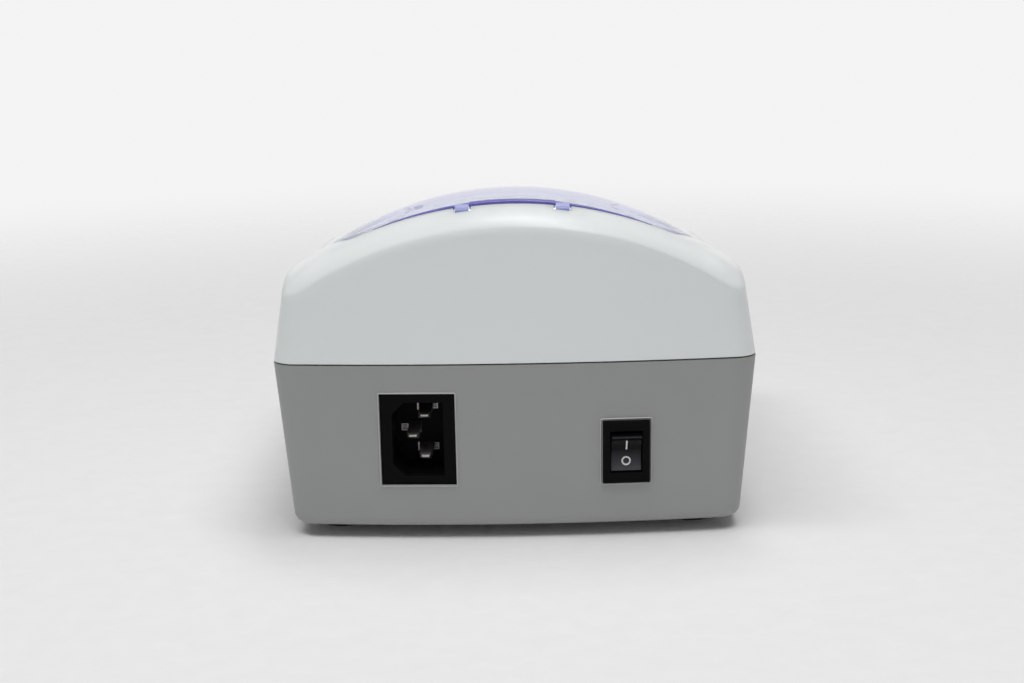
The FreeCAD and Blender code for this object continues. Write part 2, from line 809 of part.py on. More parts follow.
def hinge_cuts():
    """Open slots for the lid's arms, the relief of the lip between them, and the pin's bore."""
    width = s.hinge_arm_width + 2 * s.hinge_slot_gap
    reach = s.hinge_eye_radius + s.hinge_slot_gap
    arm = s.hinge_arm_offset
    cuts = [Part.makeBox(width, HINGE_Y + reach - LID_REAR, SKY - HINGE_Z + reach,
                         Vector(middle - width / 2, LID_REAR, HINGE_Z - reach))
            for middle in (arm, -arm)]
    relief = Part.makeBox(2 * arm, s.lid_rear_bow + s.lid_rear_gap + s.relief_width,
                          SKY - s.deck_height, Vector(-arm, LID_REAR, s.deck_height))
    cuts.append(relief.cut(crowned_form(roof_stations(), s.relief_depth)))
    cuts.append(hinge_bore(s.hinge_pin_radius))
    return cuts


def hinge_bore(radius):
    """A rod along the hinge axis, as long as the pin."""
    half = s.hinge_arm_offset + s.hinge_arm_width / 2
    return Part.makeCylinder(radius, 2 * half, Vector(-half, HINGE_Y, HINGE_Z), Vector(1, 0, 0))


def lid():
    """Domed tinted shell with a skirt down to the deck and two hinge arms."""
    low = s.deck_height + s.lid_seat_gap
    wall = s.lid_wall
    outer = lid_prism(low, SKY, 0, 0).common(crowned_form(lid_stations(), 0))
    inner = lid_prism(low - OVERCUT, SKY, -wall, -wall).common(crowned_form(lid_stations(), wall))
    posts = [post(s.lid_magnet_radius + s.magnet_pocket_wall, place, low, SKY) for place in CATCHES]
    shell = outer.cut(inner.cut(posts))
    shell = shell.cut([post(s.lid_magnet_radius, place, low - OVERCUT, low + s.lid_magnet_thickness)
                       for place in CATCHES])
    width = s.hinge_arm_width
    root = LID_REAR - wall / 2
    half_bar = s.hinge_eye_radius - 0.2
    for middle in (s.hinge_arm_offset, -s.hinge_arm_offset):
        left = middle - width / 2
        eye = Part.makeCylinder(s.hinge_eye_radius, width, Vector(left, HINGE_Y, HINGE_Z),
                                Vector(1, 0, 0))
        bar = Part.makeBox(width, HINGE_Y - root, 2 * half_bar,
                           Vector(left, root, HINGE_Z - half_bar))
        shell = shell.fuse([eye, bar])
    feature("lid", shell.cut(hinge_bore(s.hinge_pin_radius + s.running_gap)))


def hinge_pin():
    pin = Piece("hinge_pin", (0, HINGE_Y, HINGE_Z))
    pin.pad(circle(pin.sketch("YZ"), s.hinge_pin_radius),
            s.hinge_arm_offset * 2 + s.hinge_arm_width, both=True)


# ---------------------------------------------------------------- lid and deck small parts


def round_pair(label, places, radius, low, height):
    """Two equal discs on a level."""
    pair = Piece(label, (0, 0, low))
    sketch = pair.sketch()
    for place in places:
        circle(sketch, radius, place)
    pair.pad(sketch, height)


def lid_catch():
    """Magnets in the lid above steel plates, rubber bumpers, and a reed switch under the deck."""
    round_pair("lid_magnets", CATCHES, s.lid_magnet_radius, s.deck_height + s.lid_seat_gap,
               s.lid_magnet_thickness)
    round_pair("catch_plates", CATCHES, s.catch_radius, s.deck_height - s.catch_thickness,
               s.catch_thickness)
    round_pair("lid_bumpers", BUMPERS, s.bumper_radius, s.deck_height - s.bumper_depth,
               s.bumper_depth + s.lid_seat_gap - s.running_gap)
    x, y = CATCHES[0]
    low = s.deck_height - s.wall - s.reed_height - s.sensor_board
    sensor = Piece("lid_sensor", (x + s.sensor_offset, y - s.sensor_offset, low))
    sensor.pad(rectangle(sensor.sketch(), s.sensor_width, s.sensor_length), s.sensor_board)
    sensor.pad(rectangle(sensor.sketch(offset=s.sensor_board), s.reed_width, s.reed_length),
               s.reed_height)


# ---------------------------------------------------------------- chamber and rotor


def rotor_bowl():
    """Thin liner of the rotor chamber, hung by its flange in the deck."""
    bowl = Piece("rotor_bowl", (0, s.axis_y, 0))
    corner = s.bowl_corner
    flange = BOWL_RADIUS + s.bowl_flange
    under = s.deck_height - s.bowl_flange_thickness
    bend = s.bowl_wall * 0.4
    profile = polygon(bowl.sketch("XZ"), [
        (s.bowl_hole_radius, BOWL_FLOOR),
        (BOWL_OUTER - corner, BOWL_FLOOR),
        (BOWL_OUTER, BOWL_FLOOR + corner),
        (BOWL_OUTER, under),
        (flange, under),
        (flange, s.deck_height),
        (BOWL_RADIUS, s.deck_height),
        (BOWL_RADIUS, BOWL_FLOOR + corner + bend),
        (BOWL_OUTER - corner - bend, BOWL_FLOOR + s.bowl_wall),
        (s.bowl_hole_radius, BOWL_FLOOR + s.bowl_wall),
    ])
    bowl.revolve(profile)


def rotor():
    """Fixed-angle rotor: a coned body with tilted wells round a central hub."""
    wheel = Piece("rotor", (0, s.axis_y, ROTOR_FLOOR))
    rim_inner = s.hub_radius + s.rotor_height - s.hub_height
    rim_outer = rim_inner + s.rotor_rim_width
    profile = polygon(wheel.sketch("XZ"), [
        (s.shaft_radius, 0),
        (s.rotor_radius - s.rotor_bevel_width, 0),
        (s.rotor_radius, s.rotor_bevel_rise),
        (s.rotor_radius, s.rotor_band_height),
        (rim_outer, s.rotor_height - s.rotor_rim_rise),
        (rim_outer, s.rotor_height),
        (rim_inner, s.rotor_height),
        (s.hub_radius, s.hub_height),
        (s.shaft_radius, s.hub_height),
    ])
    wheel.revolve(profile)
    lead = s.well_radius + OVERCUT
    across = s.well_ring_radius - lead * trig("sin", s.well_tilt)
    up = s.hub_height + s.well_ring_radius - s.hub_radius + lead * trig("cos", s.well_tilt)
    mouth = wheel.sketch("XY")
    mouth.AttachmentOffset = Placement(Vector(across, 0, up),
                                       Rotation(Vector(0, 1, 0), -s.well_tilt))
    mouth.setExpression(".AttachmentOffset.Base.x", across.text)
    mouth.setExpression(".AttachmentOffset.Base.z", up.text)
    circle(mouth, s.well_radius)
    well = wheel.pocket(mouth, s.well_depth + lead)
    well.Reversed = False
    wheel.ring(well, profile, s.well_count, "V_Axis")


def rotor_knob():
    """Knurled nut that holds the rotor on the shaft."""
    knob = Piece("rotor_knob", (0, s.axis_y, ROTOR_FLOOR + s.hub_height))
    under = s.knob_height - s.knob_roof
    profile = polygon(knob.sketch("XZ"), [
        (s.shaft_radius, 0),
        (s.knob_radius, 0),
        (s.knob_radius, s.knob_height - s.knob_chamfer),
        (s.knob_radius - s.knob_chamfer, s.knob_height),
        (0, s.knob_height),
        (0, under),
        (s.shaft_radius, under),
    ])
    knob.revolve(profile)
    knurl = circle(knob.sketch(), s.knurl_radius, (s.knob_radius + s.knurl_radius * 0.4, 0))
    knob.ring(knob.pocket(knurl, s.knob_height + OVERCUT), profile, s.knurl_count, "V_Axis")


# ---------------------------------------------------------------- motor


def motor_shaft():
    """Shaft with the flange that the rotor stands on."""
    shaft = Piece("motor_shaft", (0, s.axis_y, 0))
    flange_low = ROTOR_FLOOR - s.shaft_flange_thickness
    top = ROTOR_FLOOR + s.hub_height + s.knob_height - s.knob_roof - 0.5
    low = MOTOR_LOW + 0.5
    shaft.revolve(polygon(shaft.sketch("XZ"), [
        (0, low),
        (s.shaft_radius, low),
        (s.shaft_radius, flange_low),
        (s.shaft_flange_radius, flange_low),
        (s.shaft_flange_radius, ROTOR_FLOOR),
        (s.shaft_radius, ROTOR_FLOOR),
        (s.shaft_radius, top),
        (0, top),
    ]))


def motor_casing():
    """Case, end cap, bearings, stator and magnet ring of the flat motor."""
    seat = s.bearing_radius + s.bearing_seat_wall
    clear = s.shaft_radius + s.shaft_clearance
    inner = s.motor_radius - s.motor_wall
    roof = MOTOR_TOP - s.motor_wall
    floor = MOTOR_LOW + s.motor_wall
    case = Piece("motor_case", (0, s.axis_y, 0))
    case.revolve(polygon(case.sketch("XZ"), [
        (inner, MOTOR_LOW),
        (s.motor_radius, MOTOR_LOW),
        (s.motor_radius, MOTOR_TOP),
        (clear, MOTOR_TOP),
        (clear, roof),
        (s.bearing_radius, roof),
        (s.bearing_radius, roof - s.bearing_width),
        (seat, roof - s.bearing_width),
        (seat, roof),
        (inner, roof),
    ]))
    cap = Piece("motor_end_cap", (0, s.axis_y, 0))
    cap.revolve(polygon(cap.sketch("XZ"), [
        (clear, MOTOR_LOW),
        (inner, MOTOR_LOW),
        (inner, floor),
        (seat, floor),
        (seat, floor + s.bearing_width),
        (s.bearing_radius, floor + s.bearing_width),
        (s.bearing_radius, floor),
        (clear, floor),
    ]))
    axis = (0, s.axis_y)
    bore = s.shaft_radius + s.running_gap
    core_low = floor + s.bearing_width + s.core_clearance
    core_top = roof - s.bearing_width - s.core_clearance
    disc("lower_bearing", s.bearing_radius, floor, floor + s.bearing_width, axis, bore)
    disc("upper_bearing", s.bearing_radius, roof - s.bearing_width, roof, axis, bore)
    disc("magnet_ring", s.core_radius, core_low, core_top, axis, s.shaft_radius)
    stator = Piece("stator", (0, s.axis_y, core_low))
    ring = circle(circle(stator.sketch(), inner), s.core_radius + s.air_gap)
    stator.pad(ring, core_top - core_low)
    slot = circle(stator.sketch(), s.stator_slot_radius, ((inner + s.core_radius) / 2, 0))
    stator.ring(stator.pocket(slot, core_top - core_low), ring, s.stator_slots)
    disc("motor_gasket", s.bowl_hole_radius + s.gasket_width, MOTOR_TOP, BOWL_FLOOR, axis,
         s.bowl_hole_radius)


def motor_mount():
    """Round plate on three rubber dampers, held by long screws and nuts."""
    loose = s.screw_radius + s.screw_clearance
    plate = Piece("motor_plate", (0, s.axis_y, PLATE_LOW))
    sketch = circle(plate.sketch(), s.motor_plate_radius)
    circle(sketch, s.bearing_radius)
    for place in DAMPERS:
        circle(sketch, loose, place)
    plate.pad(sketch, s.motor_plate_thickness)
    for number, (x, y) in enumerate(DAMPERS, 1):
        disc(f"damper_{number}", s.damper_radius, BASE, PLATE_LOW, (x, y + s.axis_y), loose)
    length = MOTOR_LOW + s.nut_height + 0.6 - s.foot_height
    screws("damper_screws", DAMPERS, s.foot_height, length, base=(0, s.axis_y, 0))
    nuts = Piece("damper_nuts", (0, s.axis_y, MOTOR_LOW))
    sketch = nuts.sketch()
    for place in DAMPERS:
        hexagon(sketch, s.nut_radius, place)
        circle(sketch, s.screw_radius, place)
    nuts.pad(sketch, s.nut_height)


def hexagon(sketch, radius, at):
    """A hexagon with corners at a radius."""
    return polygon(sketch, [(at[0] + radius * trig("cos", turn), at[1] + radius * trig("sin", turn))
                            for turn in range(0, 360, 60)])


# ---------------------------------------------------------------- rear wall fittings


def inlet():
    """Mains inlet with its long side upright: bezel, socket with two chamfers, three blades."""
    face = -s.inlet_inset
    back = face - s.inlet_depth
    floor = back + s.socket_floor
    body = Piece("inlet_body", INLET_AT, INLET_TURN)
    body.pad(rectangle(body.sketch(offset=face - s.inlet_bezel), s.inlet_width, s.inlet_rise),
             s.inlet_bezel)
    body.pad(rectangle(body.sketch(offset=back), s.inlet_width - 2 * s.inlet_side_lap,
                       s.inlet_rise - 2 * s.inlet_end_lap), s.inlet_depth - s.inlet_bezel)
    x, y, chamfer = s.socket_width / 2, s.socket_rise / 2, s.socket_chamfer
    socket = polygon(body.sketch(offset=floor),
                     [(chamfer - x, -y), (x, -y), (x, y), (chamfer - x, y), (-x, y - chamfer),
                      (-x, chamfer - y)])
    body.pocket(socket, s.inlet_depth)
    slots = body.sketch(offset=back - OVERCUT)
    tabs_low = back - s.blade_tab
    blades = Piece("inlet_blades", INLET_AT, INLET_TURN)
    pins = blades.sketch(offset=tabs_low)
    half_width = s.blade_width / 2
    half_pitch = s.blade_pitch / 2
    for place in ((half_width, half_pitch), (half_width, -half_pitch), (-half_width, 0)):
        rectangle(slots, s.blade_width, s.blade_thickness, place)
        rectangle(pins, s.blade_width, s.blade_thickness, place)
    body.pocket(slots, s.socket_floor + 2 * OVERCUT)
    blades.pad(pins, face - s.blade_recess - tabs_low)


def power_switch():
    """Rocker switch: bezel and hollow body, rocker tipped to off, two terminals."""
    pivot = s.switch_proud - s.pivot_drop
    body = Piece("switch_body", SWITCH_AT, SWITCH_TURN)
    body.pad(rectangle(body.sketch(), s.switch_width, s.switch_rise), s.switch_proud)
    body.pad(rectangle(body.sketch(offset=-s.switch_depth), s.switch_width - 2 * s.switch_side_lap,
                       s.switch_rise - 2 * s.switch_end_lap), s.switch_depth)
    well = rectangle(body.sketch(offset=-s.switch_well), s.rocker_width + 2 * s.rocker_side_gap,
                     2 * (s.rocker_reach + s.rocker_end_gap))
    body.pocket(well, s.switch_well + s.switch_proud)
    body.pocket(circle(body.sketch("YZ"), s.pivot_radius + s.running_gap, (0, pivot)),
                s.switch_width, both=True)

    offset = SWITCH_TURN.multVec(Vector(0, 0, float(pivot)))
    at = [place + part for place, part in zip(SWITCH_AT, offset)]
    rocker = Piece("rocker", at, SWITCH_TURN * Rotation(Vector(1, 0, 0), s.rocker_throw))
    side = s.rocker_reach + OVERCUT
    wing = trig("tan", s.rocker_throw) * side + s.rocker_rise
    outline = polygon(rocker.sketch("YZ"), [
        (-side, -s.rocker_keel), (side, -s.rocker_keel), (side, wing), (0, s.rocker_rise),
        (-side, wing),
    ])
    rocker.pad(outline, s.rocker_width, both=True)
    trim = rectangle(rocker.sketch("YZ"), 4 * side, 4 * side)
    circle(trim, s.rocker_reach)
    rocker.pocket(trim, s.rocker_width + 2 * OVERCUT, both=True)
    rocker.pad(circle(rocker.sketch("YZ"), s.pivot_radius), s.rocker_width + 2, both=True)

    terminals = Piece("switch_terminals", SWITCH_AT, SWITCH_TURN)
    sketch = terminals.sketch(offset=-s.switch_depth - s.terminal_length)
    for y in (s.terminal_pitch / 2, -s.terminal_pitch / 2):
        rectangle(sketch, s.terminal_width, s.terminal_thickness, (0, y))
    terminals.pad(sketch, s.terminal_length)


# ---------------------------------------------------------------- control panel


def control_panel():
    """Panel plate, display, key caps and the board behind them, in the sloped front."""
    under = -s.panel_thickness - s.wall
    board_top = -s.control_board_depth
    centre = (-s.window_offset, 0)
    plate = Piece("panel_plate", PANEL_AT, PANEL_TURN)
    sketch = rectangle(plate.sketch(offset=-s.panel_thickness), s.panel_width, s.panel_rise)
    rectangle(sketch, s.window_width, s.window_rise, centre)
    for _, x in KEYS:
        circle(sketch, s.key_radius + s.key_gap, (x, 0))
    plate.pad(sketch, s.panel_thickness)

    window = Piece("display_window", PANEL_AT, PANEL_TURN)
    window.pad(rectangle(window.sketch(offset=-s.panel_thickness),
                         s.window_width - 2 * s.window_gap, s.window_rise - 2 * s.window_gap,
                         centre), s.panel_thickness)
    module = Piece("display_module", PANEL_AT, PANEL_TURN)
    module.pad(rectangle(module.sketch(offset=board_top), s.window_width - 2 * s.module_margin,
                         s.window_rise - 2 * s.module_margin, centre),
               s.control_board_depth - s.panel_thickness - s.window_gap)

    board = Piece("control_board", PANEL_AT, PANEL_TURN)
    sketch = rectangle(board.sketch(offset=board_top - s.board_thickness),
                       s.control_board_width, s.control_board_rise)
    for place in PANEL_HOLES:
        circle(sketch, s.screw_radius, place)
    board.pad(sketch, s.board_thickness)
    screws("control_board_screws", PANEL_HOLES, board_top - s.board_thickness,
           s.board_screw_length, PANEL_TURN, PANEL_AT, radius=s.small_screw_radius)

    key_low = under - s.key_flange_thickness - s.key_stem
    switches = Piece("key_switches", PANEL_AT, PANEL_TURN)
    base = switches.sketch(offset=board_top)
    plunger = switches.sketch(offset=board_top)
    for _, x in KEYS:
        rectangle(base, s.key_switch_width, s.key_switch_width, (x, 0))
        circle(plunger, s.plunger_radius, (x, 0))
    switches.pad(base, s.key_switch_height)
    switches.pad(plunger, key_low - s.key_travel - 2 * s.running_gap - board_top)

    for label, x in KEYS:
        key = Piece(label, PANEL_AT, PANEL_TURN)
        key.pad(circle(key.sketch(offset=key_low), s.key_radius, (x, 0)), s.key_proud - key_low)
        flange = key.sketch(offset=under - s.key_flange_thickness - s.running_gap)
        key.pad(circle(flange, s.key_radius + s.key_flange, (x, 0)), s.key_flange_thickness)


# ---------------------------------------------------------------- power supply


def power_supply():
    """Board on four standoffs with its largest parts."""
    low = BASE + s.standoff_height
    top = low + s.board_thickness
    middle = (BOARD_BACK + BOARD_FRONT) / 2
    board = Piece("power_board", (0, middle, low))
    sketch = rectangle(board.sketch(), s.power_board_half_width * 2, s.power_board_length)
    for x, y in STANDOFFS:
        circle(sketch, s.screw_radius + s.screw_clearance, (x, y - middle))
    board.pad(sketch, s.board_thickness)
    flip = Rotation(Vector(1, 0, 0), 180)
    screws("power_board_screws", [(x, -y) for x, y in STANDOFFS], 0, s.board_screw_length, flip,
           (0, 0, top))

    core = Piece("transformer", (-s.transformer_offset, middle, top))
    flange = s.transformer_flange
    core.pad(rectangle(core.sketch(), s.transformer_width, s.transformer_length), flange)
    core.pad(rectangle(core.sketch(offset=flange), s.winding_width, s.winding_length),
             s.winding_height + flange)
    core.pad(rectangle(core.sketch(offset=flange + s.winding_height), s.transformer_width,
                       s.yoke_length), flange)
    disc("bulk_capacitor", s.capacitor_radius, top, top + s.capacitor_height,
         (s.capacitor_offset, middle - s.capacitor_radius))
    disc("mains_choke", s.choke_radius, top, top + s.choke_height,
         (s.choke_offset, middle + s.choke_radius * 1.3), s.choke_bore)
    sink = Piece("heat_sink", (s.sink_offset, middle, top))
    fin_start = s.sink_plate / 2 - s.sink_fin_width
    sink.pad(rectangle(sink.sketch(), s.sink_plate, s.sink_length, (fin_start, 0)), s.sink_height)
    for number in range(int(s.sink_fin_count)):
        y = (number - (s.sink_fin_count - 1) / 2) * s.sink_fin_pitch
        sink.pad(rectangle(sink.sketch(), s.sink_fin_width, s.sink_fin_thickness,
                           (-s.sink_fin_width / 2, y)), s.sink_height)


# ---------------------------------------------------------------- feet and fasteners


def feet():
    """Rubber feet with sunk screws into the base, and the long screws of the housing."""
    names = ("foot_rear_left", "foot_rear_right", "foot_front_left", "foot_front_right")
    sunk = s.screw_head_radius + 3 * s.screw_clearance
    loose = s.screw_radius + s.screw_clearance
    seat = s.foot_height / 2
    for label, place in zip(names, FEET):
        foot = Piece(label, (*place, 0))
        foot.revolve(polygon(foot.sketch("XZ"), [
            (sunk, 0),
            (s.foot_radius, 0),
            (s.foot_radius - s.foot_taper, s.foot_height),
            (loose, s.foot_height),
            (loose, seat),
            (sunk, seat),
        ]))
    screws("foot_screws", FEET, seat, s.foot_screw_length)
    housing_seat = s.foot_height + s.counterbore_depth
    screws("housing_screws", BOSSES, housing_seat, s.boss_seat + s.boss_grip - housing_seat)


lower_housing()
upper_housing()
lid()
hinge_pin()
lid_catch()
rotor_bowl()
rotor()
rotor_knob()
motor_shaft()
motor_casing()
motor_mount()
inlet()
power_switch()
control_panel()
power_supply()
feet()


# ---------------------------------------------------------------- check and write


def check_and_write():
    """Stops on any failed object or shape, then writes one STEP file per sub-part."""
    doc.recompute()
    for item in doc.Objects:
        bad = [state for state in item.State if state in ("Invalid", "Error")]
        if bad:
            raise RuntimeError(f"{item.Label}: {bad}")
    os.makedirs("parts", exist_ok=True)
    for item in SUBPARTS:
        shape = item.Shape
        if shape.isNull() or not shape.isValid():
            raise RuntimeError(f"{item.Label}: bad shape")
        shape.exportStep(os.path.join("parts", f"{item.Label}.step"))
        box = shape.BoundBox
        print(f"{item.Label}: {len(shape.Solids)} solids, {shape.Volume:.0f} mm3, "
              f"z {box.ZMin:.1f} to {box.ZMax:.1f}")


check_and_write()
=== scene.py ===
"""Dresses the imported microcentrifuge: finishes, markings, display, light and camera."""
import json
import math

import bmesh
import bpy
from mathutils import Matrix, Vector
from mathutils.bvhtree import BVHTree


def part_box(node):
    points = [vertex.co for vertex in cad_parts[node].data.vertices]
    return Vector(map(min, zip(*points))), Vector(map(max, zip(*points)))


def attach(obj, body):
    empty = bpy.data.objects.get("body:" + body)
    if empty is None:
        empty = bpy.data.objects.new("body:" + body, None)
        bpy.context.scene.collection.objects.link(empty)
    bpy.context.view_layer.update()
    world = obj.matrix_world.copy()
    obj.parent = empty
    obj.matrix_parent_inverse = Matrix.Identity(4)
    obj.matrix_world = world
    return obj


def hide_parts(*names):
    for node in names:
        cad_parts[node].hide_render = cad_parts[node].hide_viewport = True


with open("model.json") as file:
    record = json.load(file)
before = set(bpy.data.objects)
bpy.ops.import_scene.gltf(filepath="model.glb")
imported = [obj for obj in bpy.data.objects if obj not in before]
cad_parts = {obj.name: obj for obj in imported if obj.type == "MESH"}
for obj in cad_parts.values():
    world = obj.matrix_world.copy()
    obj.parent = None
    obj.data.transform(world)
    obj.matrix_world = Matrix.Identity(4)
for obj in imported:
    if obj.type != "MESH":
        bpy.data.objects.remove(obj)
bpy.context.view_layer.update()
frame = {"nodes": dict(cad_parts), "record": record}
nodes = frame["nodes"]

MM = 0.001


# ---------------------------------------------------------------- materials


NOISE_SPAN = (0.2, 0.8)  # what the noise texture's output mostly stays within
MIX_A, MIX_B, MIX_RESULT = 6, 7, 2  # the Mix node's colour sockets, whose names it uses more than once


class Finish:
    """A Principled material whose colour, roughness and bump come from noise."""

    def __init__(self, name, colour, roughness=0.5, metallic=0.0, specular=0.5, edge=0.0):
        self.material = bpy.data.materials.new(name)
        self.material.use_nodes = True
        self.tree = self.material.node_tree
        self.shader = self.tree.nodes["Principled BSDF"]
        self.output = self.tree.nodes["Material Output"]
        self.shader.inputs["Metallic"].default_value = metallic
        self.shader.inputs["Specular IOR Level"].default_value = specular
        self.colour = colour
        self.roughness = roughness
        self.coordinates = self.node("ShaderNodeTexCoord").outputs["Object"]
        self.normal = self.soft_edge(edge) if edge else None

    def node(self, kind, **settings):
        """Adds a node with some of its properties set."""
        node = self.tree.nodes.new(kind)
        for key, setting in settings.items():
            setattr(node, key, setting)
        return node

    def link(self, source, target):
        """Joins an output socket to an input socket."""
        self.tree.links.new(source, target)

    def soft_edge(self, radius):
        """Normals rounded over edges, so that they catch the light as moulded ones do.

        A pair of (height, radius) pairs makes the radius grow from one height to the other.
        """
        bevel = self.node("ShaderNodeBevel", samples=8)
        if isinstance(radius, float):
            bevel.inputs["Radius"].default_value = radius
            return bevel.outputs["Normal"]
        (low, small), (high, large) = radius
        self.link(self.rescale(self.height(), low, high, small, large), bevel.inputs["Radius"])
        return bevel.outputs["Normal"]

    def height(self):
        """Height of the shaded point in the object's own frame."""
        split = self.node("ShaderNodeSeparateXYZ")
        self.link(self.coordinates, split.inputs["Vector"])
        return split.outputs["Z"]

    def noise(self, size, detail=4.0, rough=0.6, stretch=(1, 1, 1)):
        """Noise whose features are about size metres across."""
        mapping = self.node("ShaderNodeMapping")
        mapping.inputs["Scale"].default_value = stretch
        self.link(self.coordinates, mapping.inputs["Vector"])
        noise = self.node("ShaderNodeTexNoise")
        noise.inputs["Scale"].default_value = 1 / size
        noise.inputs["Detail"].default_value = detail
        noise.inputs["Roughness"].default_value = rough
        self.link(mapping.outputs["Vector"], noise.inputs["Vector"])
        return noise.outputs["Fac"]

    def ramp(self, source, low, high, span=NOISE_SPAN):
        """Colours from low to high as the source goes over a span."""
        ramp = self.node("ShaderNodeValToRGB")
        for element, position, colour in zip(ramp.color_ramp.elements, span, (low, high)):
            element.position = position
            element.color = (*colour, 1)
        self.link(source, ramp.inputs["Fac"])
        return ramp.outputs["Color"]

    def rescale(self, source, start, end, low, high, **settings):
        """Numbers from low to high as the source goes from start to end."""
        scale = self.node("ShaderNodeMapRange", **settings)
        for key, setting in (("From Min", start), ("From Max", end), ("To Min", low), ("To Max", high)):
            scale.inputs[key].default_value = setting
        self.link(source, scale.inputs["Value"])
        return scale.outputs["Result"]

    def mottle(self, size, amount):
        """Slight light and dark drift of the colour."""
        low = [channel * (1 - amount) for channel in self.colour]
        high = [min(1.0, channel * (1 + amount)) for channel in self.colour]
        self.link(self.ramp(self.noise(size), low, high), self.shader.inputs["Base Color"])
        return self

    def wear(self, size, amount):
        """Roughness that drifts, as handling and dust leave it."""
        low, high = max(0.02, self.roughness - amount), min(1.0, self.roughness + amount)
        drift = self.rescale(self.noise(size, 5), *NOISE_SPAN, low, high)
        self.link(drift, self.shader.inputs["Roughness"])
        return self

    def bump(self, size, depth, detail=3.0, stretch=(1, 1, 1)):
        """Relief of a given depth in metres; layers add up."""
        bump = self.node("ShaderNodeBump")
        bump.inputs["Distance"].default_value = depth
        bump.inputs["Strength"].default_value = 1.0
        self.link(self.noise(size, detail, stretch=stretch), bump.inputs["Height"])
        if self.normal is not None:
            self.link(self.normal, bump.inputs["Normal"])
        self.normal = bump.outputs["Normal"]
        self.link(self.normal, self.shader.inputs["Normal"])
        return self

    def fade(self, colour, start, end):
        """Blends the colour into another between two heights."""
        blend = self.node("ShaderNodeMix", data_type="RGBA")
        self.link(self.rescale(self.height(), start, end, 0.0, 1.0), blend.inputs["Factor"])
        self.link(self.shader.inputs["Base Color"].links[0].from_socket, blend.inputs[MIX_A])
        blend.inputs[MIX_B].default_value = (*colour, 1)
        self.link(blend.outputs[MIX_RESULT], self.shader.inputs["Base Color"])
        return self

    def set(self, **inputs):
        """Sets shader sockets by name, with underscores for spaces."""
        for key, setting in inputs.items():
            self.shader.inputs[key.replace("_", " ")].default_value = setting
        return self


def moulded(name, colour, roughness, grain=0.0008, depth=0.00001, drift=0.02, specular=0.5,
            edge=0.0003, wear=0.05):
    """Moulded plastic: faint colour drift, handling marks and a fine mould texture."""
    finish = Finish(name, colour, roughness, specular=specular, edge=edge)
    return finish.mottle(0.04, drift).wear(0.012, wear).bump(grain, depth).bump(0.03, depth)


def metal(name, colour, roughness, stretch=(1, 1, 12), drift=0.06):
    """Bright metal with fine drawn lines."""
    finish = Finish(name, colour, roughness, metallic=1.0)
    return finish.mottle(0.01, drift).wear(0.004, 0.08).bump(0.0008, 0.000006, stretch=stretch)


def tinted_plastic():
    """Clear plastic with a faint violet tint.

    Its index is 1, since a bent view through the dome's rim turns the outline grey; a coat reflects.
    """
    finish = Finish("tinted_plastic", (0.93, 0.94, 0.985), 0.03)
    finish.mottle(0.05, 0.01).wear(0.02, 0.01)
    finish.set(Transmission_Weight=1.0, IOR=1.0, Coat_Weight=0.8, Coat_Roughness=0.03)
    absorb = finish.node("ShaderNodeVolumeAbsorption")
    absorb.inputs["Color"].default_value = (0.12, 0.10, 0.96, 1)
    absorb.inputs["Density"].default_value = 1.6
    finish.link(absorb.outputs["Volume"], finish.output.inputs["Volume"])
    return finish.material


def smoked_window():
    """The display's dark, half clear window."""
    finish = Finish("smoked_window", (0.30, 0.33, 0.36), 0.06)
    finish.mottle(0.01, 0.03).wear(0.01, 0.02)
    return finish.set(Transmission_Weight=0.85, IOR=1.46).material


def rubber():
    """Black rubber with a coarse, dull skin."""
    finish = Finish("rubber", (0.025, 0.025, 0.026), 0.75, specular=0.3)
    return finish.mottle(0.006, 0.2).wear(0.004, 0.1).bump(0.0006, 0.00005).material


def board_green():
    """Solder mask with faint copper tracks below it."""
    finish = Finish("circuit_board", (0.02, 0.16, 0.07), 0.35)
    voronoi = finish.node("ShaderNodeTexVoronoi", feature="DISTANCE_TO_EDGE")
    voronoi.inputs["Scale"].default_value = 260
    finish.link(finish.coordinates, voronoi.inputs["Vector"])
    tracks = finish.ramp(voronoi.outputs["Distance"], (0.05, 0.26, 0.11), (0.02, 0.14, 0.06),
                         (0.02, 0.05))
    finish.link(tracks, finish.shader.inputs["Base Color"])
    return finish.wear(0.004, 0.06).bump(0.003, 0.00002).material


def glow(name, colour, strength):
    """A lit segment: a dim emitter with a little unevenness."""
    finish = Finish(name, colour, 0.4)
    finish.mottle(0.002, 0.08).wear(0.003, 0.05)
    finish.set(Emission_Color=(*colour, 1), Emission_Strength=strength)
    return finish.material


SHELL_EDGES = ((0.064, 0.0003), (0.078, 0.008))  # crisp along the parting line, round at the roll
ROCKER_PAINTED_REFLECTION = ((0.075, 0.072, 0.085), 0.0300, 0.0232)  # painted reflection: the rocker pales towards its lower end, from one height to the other
